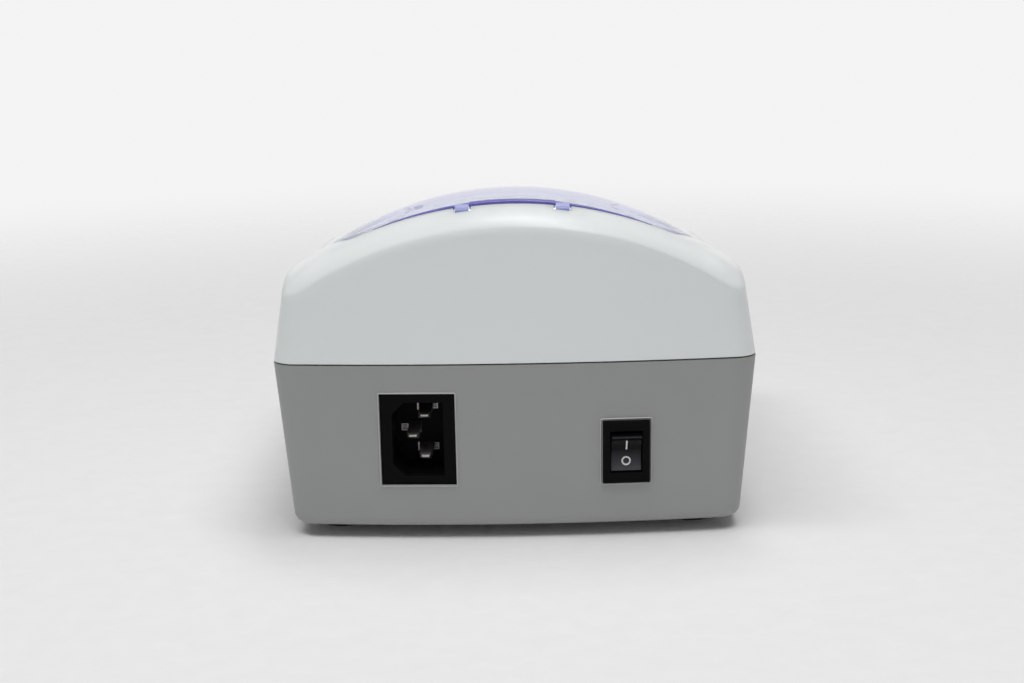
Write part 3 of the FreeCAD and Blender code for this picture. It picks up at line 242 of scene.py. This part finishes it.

MATERIALS = {
    "upper_shell": moulded("white_shell", (0.80, 0.835, 0.83), 0.32, depth=0.000004, drift=0.006,
                           edge=SHELL_EDGES, wear=0.02).set(Coat_Weight=0.25, Coat_Roughness=0.16).material,
    "lower_shell": moulded("grey_shell", (0.355, 0.366, 0.358), 0.52, grain=0.0007, depth=0.00004,
                           specular=0.35, edge=0.0005).material,
    "tinted_lid": tinted_plastic(),
    "steel": metal("steel", (0.62, 0.62, 0.63), 0.32).material,
    "nickel": metal("nickel", (0.34, 0.33, 0.31), 0.4).material,
    "zinc_plate": metal("zinc_plate", (0.62, 0.64, 0.66), 0.42, stretch=(1, 12, 1)).material,
    "rubber": rubber(),
    "circuit_board": board_green(),
    "bowl_plastic": moulded("bowl_plastic", (0.22, 0.23, 0.24), 0.42, depth=0.00003).material,
    "rotor_plastic": moulded("rotor_plastic", (0.045, 0.05, 0.06), 0.34, depth=0.00002).material,
    "knob_plastic": moulded("knob_plastic", (0.018, 0.018, 0.02), 0.4, depth=0.00002).material,
    "motor_paint": moulded("motor_paint", (0.05, 0.05, 0.055), 0.45, depth=0.00003).material,
    "lamination": metal("lamination", (0.32, 0.30, 0.28), 0.5, stretch=(1, 1, 30)).material,
    "black_plastic": moulded("black_plastic", (0.003, 0.003, 0.0035), 0.5, depth=0.00002, drift=0.1,
                             specular=0.05).material,
    # The rocker's paler lower end is a painted reflection, blended in by fade.
    "rocker_plastic": moulded("rocker_plastic", (0.002, 0.002, 0.003), 0.16, depth=0.000002,
                              specular=0.12, edge=0.0002).fade(*ROCKER_PAINTED_REFLECTION).material,
    "panel_grey": moulded("panel_grey", (0.18, 0.20, 0.23), 0.38, depth=0.00002).material,
    "window": smoked_window(),
    "display": moulded("display_face", (0.012, 0.016, 0.016), 0.3, depth=0.0).material,
    "key_plastic": moulded("key_plastic", (0.62, 0.64, 0.66), 0.45).material,
    "start_key_plastic": moulded("start_key_plastic", (0.06, 0.14, 0.5), 0.42).material,
    "transformer_tape": moulded("transformer_tape", (0.6, 0.45, 0.08), 0.4).material,
    "capacitor_sleeve": moulded("capacitor_sleeve", (0.02, 0.03, 0.09), 0.25).material,
    "aluminium": metal("aluminium", (0.78, 0.79, 0.80), 0.38).material,
    "lead_insulation": moulded("lead_insulation", (0.03, 0.03, 0.03), 0.45).material,
}
# Painted highlight: the lips are coloured paler than the grey shell they belong to.
SHELL_LIP_PAINTED_HIGHLIGHT = moulded("shell_lip_painted_highlight", (0.44, 0.45, 0.44), 0.4, edge=0.0001).material
# Painted shade: the deep blue of the lid's rear edge.
LID_EDGE_PAINTED_SHADE = moulded("lid_edge_painted_shade", (0.105, 0.095, 0.40), 0.25, edge=0.0001).material
# Painted light: the pale blue of the hinge arms.
LID_ARM_PAINTED_LIGHT = moulded("lid_arm_painted_light", (0.30, 0.33, 0.66), 0.22, edge=0.0003).material
MARK_WHITE = moulded("mark_white", (0.82, 0.82, 0.82), 0.5).material
MARK_DARK = moulded("mark_dark", (0.05, 0.06, 0.08), 0.5).material
SEGMENT = glow("segment", (0.25, 0.85, 1.0), 1.2)
SLOTS = {entry["node"]: entry["material_slot"] for entry in frame["record"]["subparts"]}


for name, obj in nodes.items():
    obj.data.materials.clear()
    obj.data.materials.append(MATERIALS[SLOTS[name]])


# ---------------------------------------------------------------- local frames


WALL_LEAN = math.radians(5)
ROCKER_TILT = math.radians(12)  # from the switch's face to the rocker at rest


def axes(base, x, y):
    """A matrix whose x and y follow two directions and whose origin is base."""
    x = Vector(x).normalized()
    y = Vector(y).normalized()
    z = x.cross(y)
    matrix = Matrix((x, y, z)).transposed().to_4x4()
    matrix.translation = Vector(base)
    return matrix


def wall_axes(base, across):
    """Axes of a fitting in the leaning rear wall: x across it, y up it, z outwards."""
    across = Vector((across[0], across[1], 0)).normalized()
    outward = across.cross(Vector((0, 0, 1)))
    up = Vector((0, 0, 1)) * math.cos(WALL_LEAN) + outward * math.sin(WALL_LEAN)
    return axes(base, across, up)


def joint(name):
    """A joint of the record, by name."""
    return next(entry for entry in frame["record"]["behaviour"]["joints"] if entry["name"] == name)


def mount(name):
    """A mount of the record, by name."""
    return next(entry for entry in frame["record"]["mounts"] if entry["name"] == name)


SWITCH_AXES = wall_axes(joint("rocker_tilt")["pos_m"], -Vector(joint("rocker_tilt")["axis"]))
ROCKER_AXES = SWITCH_AXES @ Matrix.Rotation(ROCKER_TILT, 4, "X")
INLET_FACING = Vector(mount("mains_inlet")["axis"])
INLET_AXES = wall_axes(mount("mains_inlet")["pos_m"], (-INLET_FACING.y, INLET_FACING.x))
PRESS = -Vector(joint("start_key_press")["axis"])
PANEL_AXES = axes(0.5 * (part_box("panel_plate")[0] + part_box("panel_plate")[1]), (1, 0, 0),
                  PRESS.cross(Vector((1, 0, 0))))


# ---------------------------------------------------------------- piece helpers


SHARP = 35  # degrees from which an edge stays sharp in the shading, or is rounded by soften


def piece(name, work, material, body, sharp=SHARP):
    """Makes an object from a bmesh, smooth but for edges sharper than an angle."""
    bmesh.ops.recalc_face_normals(work, faces=work.faces)
    for face in work.faces:
        face.smooth = True
    for edge in work.edges:
        edge.smooth = len(edge.link_faces) == 2 and edge.calc_face_angle() < math.radians(sharp)
    mesh = bpy.data.meshes.new(name)
    work.to_mesh(mesh)
    work.free()
    mesh.materials.append(material)
    made = bpy.data.objects.new(name, mesh)
    bpy.context.scene.collection.objects.link(made)
    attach(made, body)
    return made


def soften(made, radius, segments=3):
    """Rounds the sharp edges by a radius in millimetres."""
    bevel = made.modifiers.new("soften", "BEVEL")
    bevel.width = radius * MM
    bevel.segments = segments
    bevel.limit_method = "ANGLE"
    bevel.angle_limit = math.radians(SHARP)


def skin(work, rows, closed=True):
    """Joins each row of points to the next with faces, right round where the rows are closed."""
    for first, second in zip(rows, rows[1:]):
        for index in range(len(first) if closed else len(first) - 1):
            after = (index + 1) % len(first)
            work.faces.new((first[index], first[after], second[after], second[index]))


def prism(work, outline, low, high, place):
    """A solid between two copies of a closed outline; place turns (x, y, z) into a point."""
    rings = [[work.verts.new(place(x, y, level)) for x, y in outline] for level in (low, high)]
    for ring in rings:
        work.faces.new(ring)
    skin(work, rings)


def band(work, outer, inner, low, high, place):
    """A closed band between two outlines of equal length, such as a ring or a frame."""
    loops = [[work.verts.new(place(x, y, level)) for x, y in outline]
             for outline, level in ((outer, low), (outer, high), (inner, high), (inner, low))]
    skin(work, loops + loops[:1])


def rounded(width, rise, radius, centre=(0, 0), steps=5):
    """Outline of a rectangle with round corners."""
    points = []
    for quarter, (sx, sy) in enumerate(((1, 1), (-1, 1), (-1, -1), (1, -1))):
        for step in range(steps + 1):
            turn = math.pi / 2 * (quarter + step / steps)
            points.append((centre[0] + sx * (width / 2 - radius) + radius * math.cos(turn),
                           centre[1] + sy * (rise / 2 - radius) + radius * math.sin(turn)))
    return points


def ring_outline(radius, centre=(0, 0), steps=40):
    """Outline of a circle."""
    return [(centre[0] + radius * math.cos(2 * math.pi * step / steps),
             centre[1] + radius * math.sin(2 * math.pi * step / steps)) for step in range(steps)]


def flat(matrix):
    """Places local millimetres on a flat frame."""
    return lambda x, y, z: matrix @ Vector((x * MM, y * MM, z * MM))


# ---------------------------------------------------------------- rocker


# In local millimetres: x along the pivot, y towards the I end, z outwards.
ROCKER_HALF_WIDTH = 4.97
ROCKER_RIDGE = 1.66  # the ridge's height over the pivot, before it is softened
ROCKER_TIP = (6.08, 2.95)  # y and z of a wing's end
ROCKER_KEEL = (5.9, -2.95)  # y and z of a flank's lower end
ROCKER_DISH = 0.62
ROCKER_SOFTNESS = 0.25
RIDGE_SOFTNESS = (0.12, 0.5)  # how far the ridge is taken down, and its reach to either side
WING_STEPS = 20
END_STEPS = 8
MARK_CENTRE = 3.0
MARK_DEPTH = 0.03
ON_MARK = (0.27, 1.65)  # half the stroke's width, and the centre of its round ends
OFF_MARK = (1.55, 1.0)  # outer and inner radius of the ring


def rocker_height(y):
    """The dished wings of the rocker, which meet in a soft ridge."""
    share = min(1.0, abs(y) / ROCKER_TIP[0])
    straight = ROCKER_RIDGE + (ROCKER_TIP[1] - ROCKER_RIDGE) * share
    lowered, reach = RIDGE_SOFTNESS
    ridge = lowered * math.exp(-(abs(y) / reach) ** 2)
    return straight - 4 * ROCKER_DISH * share * (1 - share) - ridge


def rocker():
    """Rocker with dished wings and soft edges, in place of the plain one."""
    ends = [y / WING_STEPS * ROCKER_TIP[0] for y in range(-WING_STEPS, WING_STEPS + 1)]
    top = [(y, rocker_height(y)) for y in ends]
    (start, tip), (stop, keel) = [(math.atan2(z, y), math.hypot(y, z)) for y, z in (ROCKER_TIP, ROCKER_KEEL)]
    right = []
    for step in range(1, END_STEPS + 1):
        turn = start + (stop - start) * step / END_STEPS
        reach = tip + (keel - tip) * step / END_STEPS
        right.append((reach * math.cos(turn), reach * math.sin(turn)))
    outline = top + right + [(-y, z) for y, z in reversed(right)]
    work = bmesh.new()
    prism(work, outline, -ROCKER_HALF_WIDTH, ROCKER_HALF_WIDTH,
          lambda y, z, x: ROCKER_AXES @ Vector((x * MM, y * MM, z * MM)))
    cap = piece("rocker_cap", work, MATERIALS["rocker_plastic"], "rocker")
    soften(cap, ROCKER_SOFTNESS)
    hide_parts("rocker")

    def on_wing(x, y, z):
        return ROCKER_AXES @ Vector((x * MM, y * MM, (rocker_height(y) + z) * MM))

    half, end = ON_MARK
    stroke = [(half * math.cos(turn), MARK_CENTRE + side * end + half * math.sin(turn))
              for side, turns in ((1, range(0, 181, 45)), (-1, range(180, 361, 45)))
              for turn in map(math.radians, turns)]
    work = bmesh.new()
    prism(work, stroke, -MARK_DEPTH, MARK_DEPTH, on_wing)
    piece("mark_on", work, MARK_WHITE, "rocker")
    work = bmesh.new()
    outer, inner = [ring_outline(radius, (0, -MARK_CENTRE)) for radius in OFF_MARK]
    band(work, outer, inner, -MARK_DEPTH, MARK_DEPTH, on_wing)
    piece("mark_off", work, MARK_WHITE, "rocker")


# ---------------------------------------------------------------- mains inlet


# In local millimetres: x across the inlet, y up it, z outwards from its face.
BLADE_PLACES = ((2, 7), (2, -7), (-2, 0))
BLADE_LEVELS = ((-25.0, 4.0, 2.0), (-4.3, 4.0, 2.0), (-3.2, 2.4, 0.55))  # height, width and rise
BLADE_SOFTNESS = 0.12
SOCKET_FLOOR = -15.5
WINDOW_PLACES = ((4.3, 6.6), (-5.6, -1.0), (4.3, -7.6))
WINDOW_FRAME = ((2.3, 0.2), (1.7, 0.15))  # side and corner radius, outside and inside
WINDOW_BARS = (-0.42, 0, 0.42)
WINDOW_BAR = (1.7, 0.2, 0.05)  # width, rise and corner radius
RIB = (0.5, 3.0, 0.2)
FRAME_HEIGHT, BAR_HEIGHT, RIB_HEIGHT = 0.25, 0.2, 0.6
RIB_PLACES = ((-1.1, 6.6), (-0.5, -1.1), (-1.2, -7.6))


def inlet_blades():
    """Blades with chamfered tips, in place of the plain ones."""
    work = bmesh.new()
    place = flat(INLET_AXES)
    for x, y in BLADE_PLACES:
        rings = [[work.verts.new(place(x + sx * width / 2, y + sy * rise / 2, level))
                  for sx, sy in ((1, 1), (-1, 1), (-1, -1), (1, -1))] for level, width, rise in BLADE_LEVELS]
        work.faces.new(rings[0])
        work.faces.new(rings[-1])
        skin(work, rings)
    blades = piece("inlet_contacts", work, MATERIALS["nickel"], "housing")
    soften(blades, BLADE_SOFTNESS, 2)
    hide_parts("inlet_blades")


def inlet_details():
    """Contact windows and ribs on the socket's back wall."""
    place = flat(INLET_AXES)
    work = bmesh.new()
    for centre in WINDOW_PLACES:
        outer, inner = [rounded(side, side, radius, centre) for side, radius in WINDOW_FRAME]
        band(work, outer, inner, SOCKET_FLOOR, SOCKET_FLOOR + FRAME_HEIGHT, place)
        for offset in WINDOW_BARS:
            bar = rounded(*WINDOW_BAR, (centre[0], centre[1] + offset))
            prism(work, bar, SOCKET_FLOOR, SOCKET_FLOOR + BAR_HEIGHT, place)
    piece("contact_windows", work, MATERIALS["nickel"], "housing")
    work = bmesh.new()
    for centre in RIB_PLACES:
        prism(work, rounded(*RIB, centre), SOCKET_FLOOR, SOCKET_FLOOR + RIB_HEIGHT, place)
    piece("contact_ribs", work, MATERIALS["nickel"], "housing")


# ---------------------------------------------------------------- lid's rear edge: painted shade, and the arms' painted light


# In the frame's own metres.
LID_WALL = 0.0768  # y of the lid's rear wall at its middle
LID_WALL_BOW = (0.0008, 0.0525)  # how far the wall has come forward, and at which x
ARM_AT = 0.0163
ARM_HALF_WIDTH = 0.0022
ARM_MARGIN = 0.0023  # half the length over which the edge thins to let an arm out
ARM_EYE = 0.0022 + 0.00005  # radius of an arm's round end, and the skin's clearance
ARM_ROWS = 12
ARM_TURN = math.radians(12)  # from one row of the round end to the next
EDGE_REACH = 0.0455
EDGE_STEPS = 160
SKIN = 0.00006  # how far the painted blue strip stands clear of the lid
TURN_DOWN = 0.0003  # where the section turns from the dome into the wall
CREST_BACK = 0.0002
# Each depth down the wall is paired with a reach over the dome.
BETWEEN_ARMS = (0.0016, 0.0016)
OVER_ARM = (0.0005, 0.0010)
OUTSIDE = (0.0012, 0.0002)
FOOT = (0.0007, 0.0036, 0.0014)  # extra depth beside an arm, its distance inwards and half length
SWELL = (0.0006, 0.03)  # extra reach at an arm, and the length over which it dies out


def lid_section(dome, x, drop, fold):
    """Points down the lid's rear wall and over onto the dome, just clear of both."""
    bow, reach = LID_WALL_BOW
    wall = LID_WALL - bow * (x / reach) ** 2
    crest = dome(x, wall - TURN_DOWN)
    return [Vector((x, wall + SKIN, crest - drop)),
            Vector((x, wall + SKIN, crest - TURN_DOWN)),
            Vector((x, wall - CREST_BACK, crest)),
            Vector((x, wall - 0.5 * fold, dome(x, wall - 0.5 * fold))),
            Vector((x, wall - fold, dome(x, wall - fold)))]


def painted_shade_reach(x):
    """How far the painted blue shade goes down the wall and over the dome, at a place along it."""
    across = abs(x)
    if across < ARM_AT - ARM_MARGIN:
        depth, inwards, half = FOOT
        drop, fold = BETWEEN_ARMS
        return drop + depth * max(0.0, 1 - abs(across - ARM_AT + inwards) / half), fold
    if across < ARM_AT + ARM_MARGIN:
        return OVER_ARM
    extra, length = SWELL
    drop, fold = OUTSIDE
    return drop, fold + extra * max(0.0, 1 - (across - ARM_AT) / length)


def lid_edge_painted_shade():
    """Deep blue strip along the rear edge of the lid: painted shade, the dim light its tint gives through
    its width.
    """
    lid = nodes["lid"]
    tree = BVHTree.FromPolygons([lid.matrix_world @ vertex.co for vertex in lid.data.vertices],
                                [tuple(face.vertices) for face in lid.data.polygons])
    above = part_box("lid")[1].z + 0.01

    def dome(x, y):
        return tree.ray_cast(Vector((x, y, above)), Vector((0, 0, -1)))[0].z + SKIN

    work = bmesh.new()
    rows = []
    for step in range(EDGE_STEPS + 1):
        x = EDGE_REACH * (2 * step / EDGE_STEPS - 1)
        rows.append([work.verts.new(point) for point in lid_section(dome, x, *painted_shade_reach(x))])
    skin(work, rows, closed=False)
    piece("lid_rear_edge_painted_shade", work, LID_EDGE_PAINTED_SHADE, "lid", sharp=80)


def lid_arms():
    """An opaque blue skin on the two hinge arms: painted light standing for the light through the clear
    arms, paler than the painted shade of the edge between them.
    """
    pin = Vector(joint("lid_hinge")["pos_m"])
    outline = [(LID_WALL, pin.z + ARM_EYE)]
    outline += [(pin.y + ARM_EYE * math.sin(turn), pin.z + ARM_EYE * math.cos(turn))
                for turn in [ARM_TURN * step for step in range(ARM_ROWS)]]
    work = bmesh.new()
    for middle in (ARM_AT, -ARM_AT):
        rows = [[work.verts.new((middle + side * ARM_HALF_WIDTH, y, z)) for side in (-1, -0.5, 0.5, 1)]
                for y, z in outline]
        skin(work, rows, closed=False)
    piece("lid_arm_skin_painted_light", work, LID_ARM_PAINTED_LIGHT, "lid", sharp=80)


# ---------------------------------------------------------------- rotor and panel


def lettering(name, text, size, matrix, material, body, lift=0.04):
    """Raised numbers in the middle of a flat frame; size and lift are in millimetres."""
    curve = bpy.data.curves.new(name, "FONT")
    curve.body = text
    curve.size = size * MM
    curve.extrude = lift * MM
    curve.align_x = "CENTER"
    curve.align_y = "CENTER"
    source = bpy.data.objects.new(name + "_source", curve)
    mesh = bpy.data.meshes.new_from_object(source)
    bpy.data.objects.remove(source)
    mesh.transform(matrix)
    mesh.materials.clear()
    mesh.materials.append(material)
    made = bpy.data.objects.new(name, mesh)
    bpy.context.scene.collection.objects.link(made)
    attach(made, body)


WELLS = 8
NUMBER_RADIUS = 0.0385  # metres from the spindle
NUMBER_SIZE = 4.2  # millimetres


def rotor_numbers():
    """Place numbers on the rotor's flat rim, one above each well."""
    axis = Vector(joint("rotor_spin")["pos_m"])
    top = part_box("rotor")[1].z
    for place in range(WELLS):
        turn = 2 * math.pi / WELLS * place
        outward = Vector((math.cos(turn), math.sin(turn), 0))
        at = Vector((axis.x, axis.y, top)) + outward * NUMBER_RADIUS
        matrix = axes(at, outward.cross(Vector((0, 0, 1))) * -1, outward)
        lettering(f"place_{place + 1}", str(place + 1), NUMBER_SIZE, matrix, MARK_WHITE, "rotor")


# In local millimetres: x to the right, y up the panel, z outwards from the plate's middle.
PRINT = (-0.02, 0.03)  # lowest and highest point of a printed mark, from the surface it is on
PANEL_FACE = 0.6  # the plate's front, above its middle
KEY_FACE = 1.0  # a key's front, above the plate's
KEY_PLACES = {"slower_key": 8, "faster_key": 20, "start_key": 32}
PANEL_BORDER = ((77, 21, 2.6), (76.2, 20.2, 2.2))  # width, rise and corner radius, outside and inside
DISPLAY_BORDER = ((36, 17, 1.6), (35.2, 16.2, 1.3))
KEY_RING = (5.3, 4.95)  # outer and inner radius
DISPLAY_AT = -19
DISPLAY_FACE = -0.68
DIGITS = (("display_speed", "12.0", -6.4), ("display_minutes", "05", 9.6))
DIGIT_SIZE = 7.2
DIGIT_SHIFT = -0.3
PLUS_ARM, PLUS_HALF = 1.7, 0.35


def key_sign(key, x):
    """Outline of the minus, plus or start sign on a key."""
    if key == "slower_key":
        return rounded(3.4, 0.7, 0.2, (x, 0))
    if key == "start_key":
        return [(x - 1.2, -1.6), (x + 1.7, 0), (x - 1.2, 1.6)]
    quarter = [(PLUS_ARM, PLUS_HALF), (PLUS_HALF, PLUS_HALF), (PLUS_HALF, PLUS_ARM)]
    corners = []
    for _ in range(4):
        corners += quarter
        quarter = [(-dy, dx) for dx, dy in quarter]
    return [(x + dx, dy) for dx, dy in corners]


def panel():
    """Printed borders and signs on the panel and its keys, and lit digits behind the window."""
    place = flat(PANEL_AXES @ Matrix.Translation((0, 0, PANEL_FACE * MM)))
    work = bmesh.new()
    for border, centre in ((PANEL_BORDER, (0, 0)), (DISPLAY_BORDER, (DISPLAY_AT, 0))):
        outer, inner = [rounded(*size, centre) for size in border]
        band(work, outer, inner, *PRINT, place)
    piece("panel_border", work, MARK_WHITE, "housing")
    for key, x in KEY_PLACES.items():
        work = bmesh.new()
        prism(work, key_sign(key, x), *[KEY_FACE + level for level in PRINT], place)
        mark = MARK_WHITE if key == "start_key" else MARK_DARK
        piece(key + "_mark", work, mark, key)
        work = bmesh.new()
        outer, inner = [ring_outline(radius, (x, 0)) for radius in KEY_RING]
        band(work, outer, inner, *PRINT, place)
        piece(key + "_ring", work, MARK_WHITE, "housing")
    for name, text, x in DIGITS:
        at = Matrix.Translation(((DISPLAY_AT + x) * MM, DIGIT_SHIFT * MM, DISPLAY_FACE * MM))
        lettering(name, text, DIGIT_SIZE, PANEL_AXES @ at, SEGMENT, "housing")


# ---------------------------------------------------------------- lips of the cut-outs


INLET_OPENING = (24.4, 31.2, 0.5)  # width and rise in millimetres, and the height of the lip's foot
INLET_RUNS = ((1.1, 0.6, 0.0), (0.15, 0.35, 0.3), (-0.12, 0.3, -0.45))
SWITCH_OPENING = (15.2, 21.0, 1.1)
SWITCH_RUNS = ((1.8, 0.8, 0.0), (1.2, 0.5, 0.28), (0.6, 0.3, 0.0))


def lip(name, matrix, opening, runs):
    """The moulded lip of a cut-out in the rear wall, whose lower run catches the light; its colour, paler
    than the grey shell's, is a painted highlight.

    Each run is (growth of the outline, corner radius, height over the lip's foot).
    """
    width, rise, level = opening
    place = flat(matrix)
    work = bmesh.new()
    loops = [[work.verts.new(place(x, y, level + height))
              for x, y in rounded(width + grow, rise + grow, radius)] for grow, radius, height in runs]
    skin(work, loops)
    piece(name, work, SHELL_LIP_PAINTED_HIGHLIGHT, "housing")


rocker()
inlet_blades()
inlet_details()
lip("inlet_lip", INLET_AXES, INLET_OPENING, INLET_RUNS)
lip("switch_lip", SWITCH_AXES, SWITCH_OPENING, SWITCH_RUNS)
lid_edge_painted_shade()
lid_arms()
rotor_numbers()
panel()


# ---------------------------------------------------------------- stage, light and camera


FLOOR_REACH = 3.0
FLOOR_FADE = (0.26, 0.75)  # distances from the origin between which the floor melts away
AMBIENT = 0.20
SURROUND = 0.90


def floor_finish():
    """Matt white that melts into the surround, the same way from every side."""
    finish = Finish("floor", (0.90, 0.90, 0.90), 0.7, specular=0.2)
    finish.mottle(0.01, 0.02).wear(0.05, 0.05).bump(0.004, 0.0001)
    reach = finish.node("ShaderNodeVectorMath", operation="LENGTH")
    finish.link(finish.coordinates, reach.inputs[0])
    solid = finish.rescale(reach.outputs["Value"], *FLOOR_FADE, 1.0, 0.0, interpolation_type="SMOOTHSTEP")
    finish.link(solid, finish.shader.inputs["Alpha"])
    return finish.material


def stage():
    """A plain pale floor."""
    work = bmesh.new()
    work.faces.new([work.verts.new((x * FLOOR_REACH, y * FLOOR_REACH, 0.0))
                    for x, y in ((-1, -1), (1, -1), (1, 1), (-1, 1))])
    mesh = bpy.data.meshes.new("floor")
    work.to_mesh(mesh)
    work.free()
    mesh.materials.append(floor_finish())
    floor = bpy.data.objects.new("floor", mesh)
    bpy.context.scene.collection.objects.link(floor)


def surround():
    """An even white world where it is looked at or mirrored, and a dimmer one as a light."""
    world = bpy.data.worlds.new("surround")
    bpy.context.scene.world = world
    world.use_nodes = True
    tree = world.node_tree
    paths = tree.nodes.new("ShaderNodeLightPath")
    seen = paths.outputs["Is Camera Ray"]
    for ray in ("Is Transmission Ray", "Is Glossy Ray"):
        either = tree.nodes.new("ShaderNodeMath")
        either.operation = "MAXIMUM"
        tree.links.new(seen, either.inputs[0])
        tree.links.new(paths.outputs[ray], either.inputs[1])
        seen = either.outputs[0]
    strength = tree.nodes.new("ShaderNodeMapRange")
    strength.inputs["To Min"].default_value = AMBIENT
    strength.inputs["To Max"].default_value = SURROUND
    tree.links.new(seen, strength.inputs["Value"])
    tree.links.new(strength.outputs["Result"], tree.nodes["Background"].inputs["Strength"])
    tree.nodes["Background"].inputs["Color"].default_value = (1, 1, 1, 1)


def lamp(name, at, target, size, power):
    """A rectangular soft light aimed at a point."""
    data = bpy.data.lights.new(name, "AREA")
    data.shape = "RECTANGLE"
    data.size, data.size_y = size
    data.energy = power
    light = bpy.data.objects.new(name, data)
    light.location = at
    light.rotation_euler = (Vector(target) - Vector(at)).to_track_quat("-Z", "Y").to_euler()
    bpy.context.scene.collection.objects.link(light)


LAMP_AIM = (0, 0, 0.1)
CEILING_SIZE = (1.6, 0.40)


def lights():
    """Two long ceiling lights across the machine, and a faint fill from behind the camera."""
    lamp("ceiling_near", (0.35, 0.55, 1.5), LAMP_AIM, CEILING_SIZE, 11)
    lamp("ceiling_far", (-0.25, -0.1, 1.5), LAMP_AIM, CEILING_SIZE, 9)
    lamp("fill", (0.0, 1.9, 0.50), (0, 0, 0.06), (1.0, 0.3), 1.3)


CAMERA_AT = (0.0008, 0.8163, 0.2196)
CAMERA_PITCH = 12.05
CAMERA_ROLL = -0.97
CAMERA_LENS = 80.9


def camera():
    """Behind the machine, looking down a little, and level to within a degree."""
    data = bpy.data.cameras.new("camera")
    data.lens = CAMERA_LENS
    data.sensor_width = 36
    data.clip_start = 0.01
    view = bpy.data.objects.new("camera", data)
    facing = Matrix.Rotation(math.pi, 4, "Z") @ Matrix.Rotation(math.radians(90 - CAMERA_PITCH), 4, "X")
    roll = Matrix.Rotation(math.radians(CAMERA_ROLL), 4, "Z")
    view.matrix_world = Matrix.Translation(CAMERA_AT) @ facing @ roll
    bpy.context.scene.collection.objects.link(view)
    bpy.context.scene.camera = view


stage()
surround()
lights()
camera()

bpy.context.scene.view_settings.view_transform = "Standard"
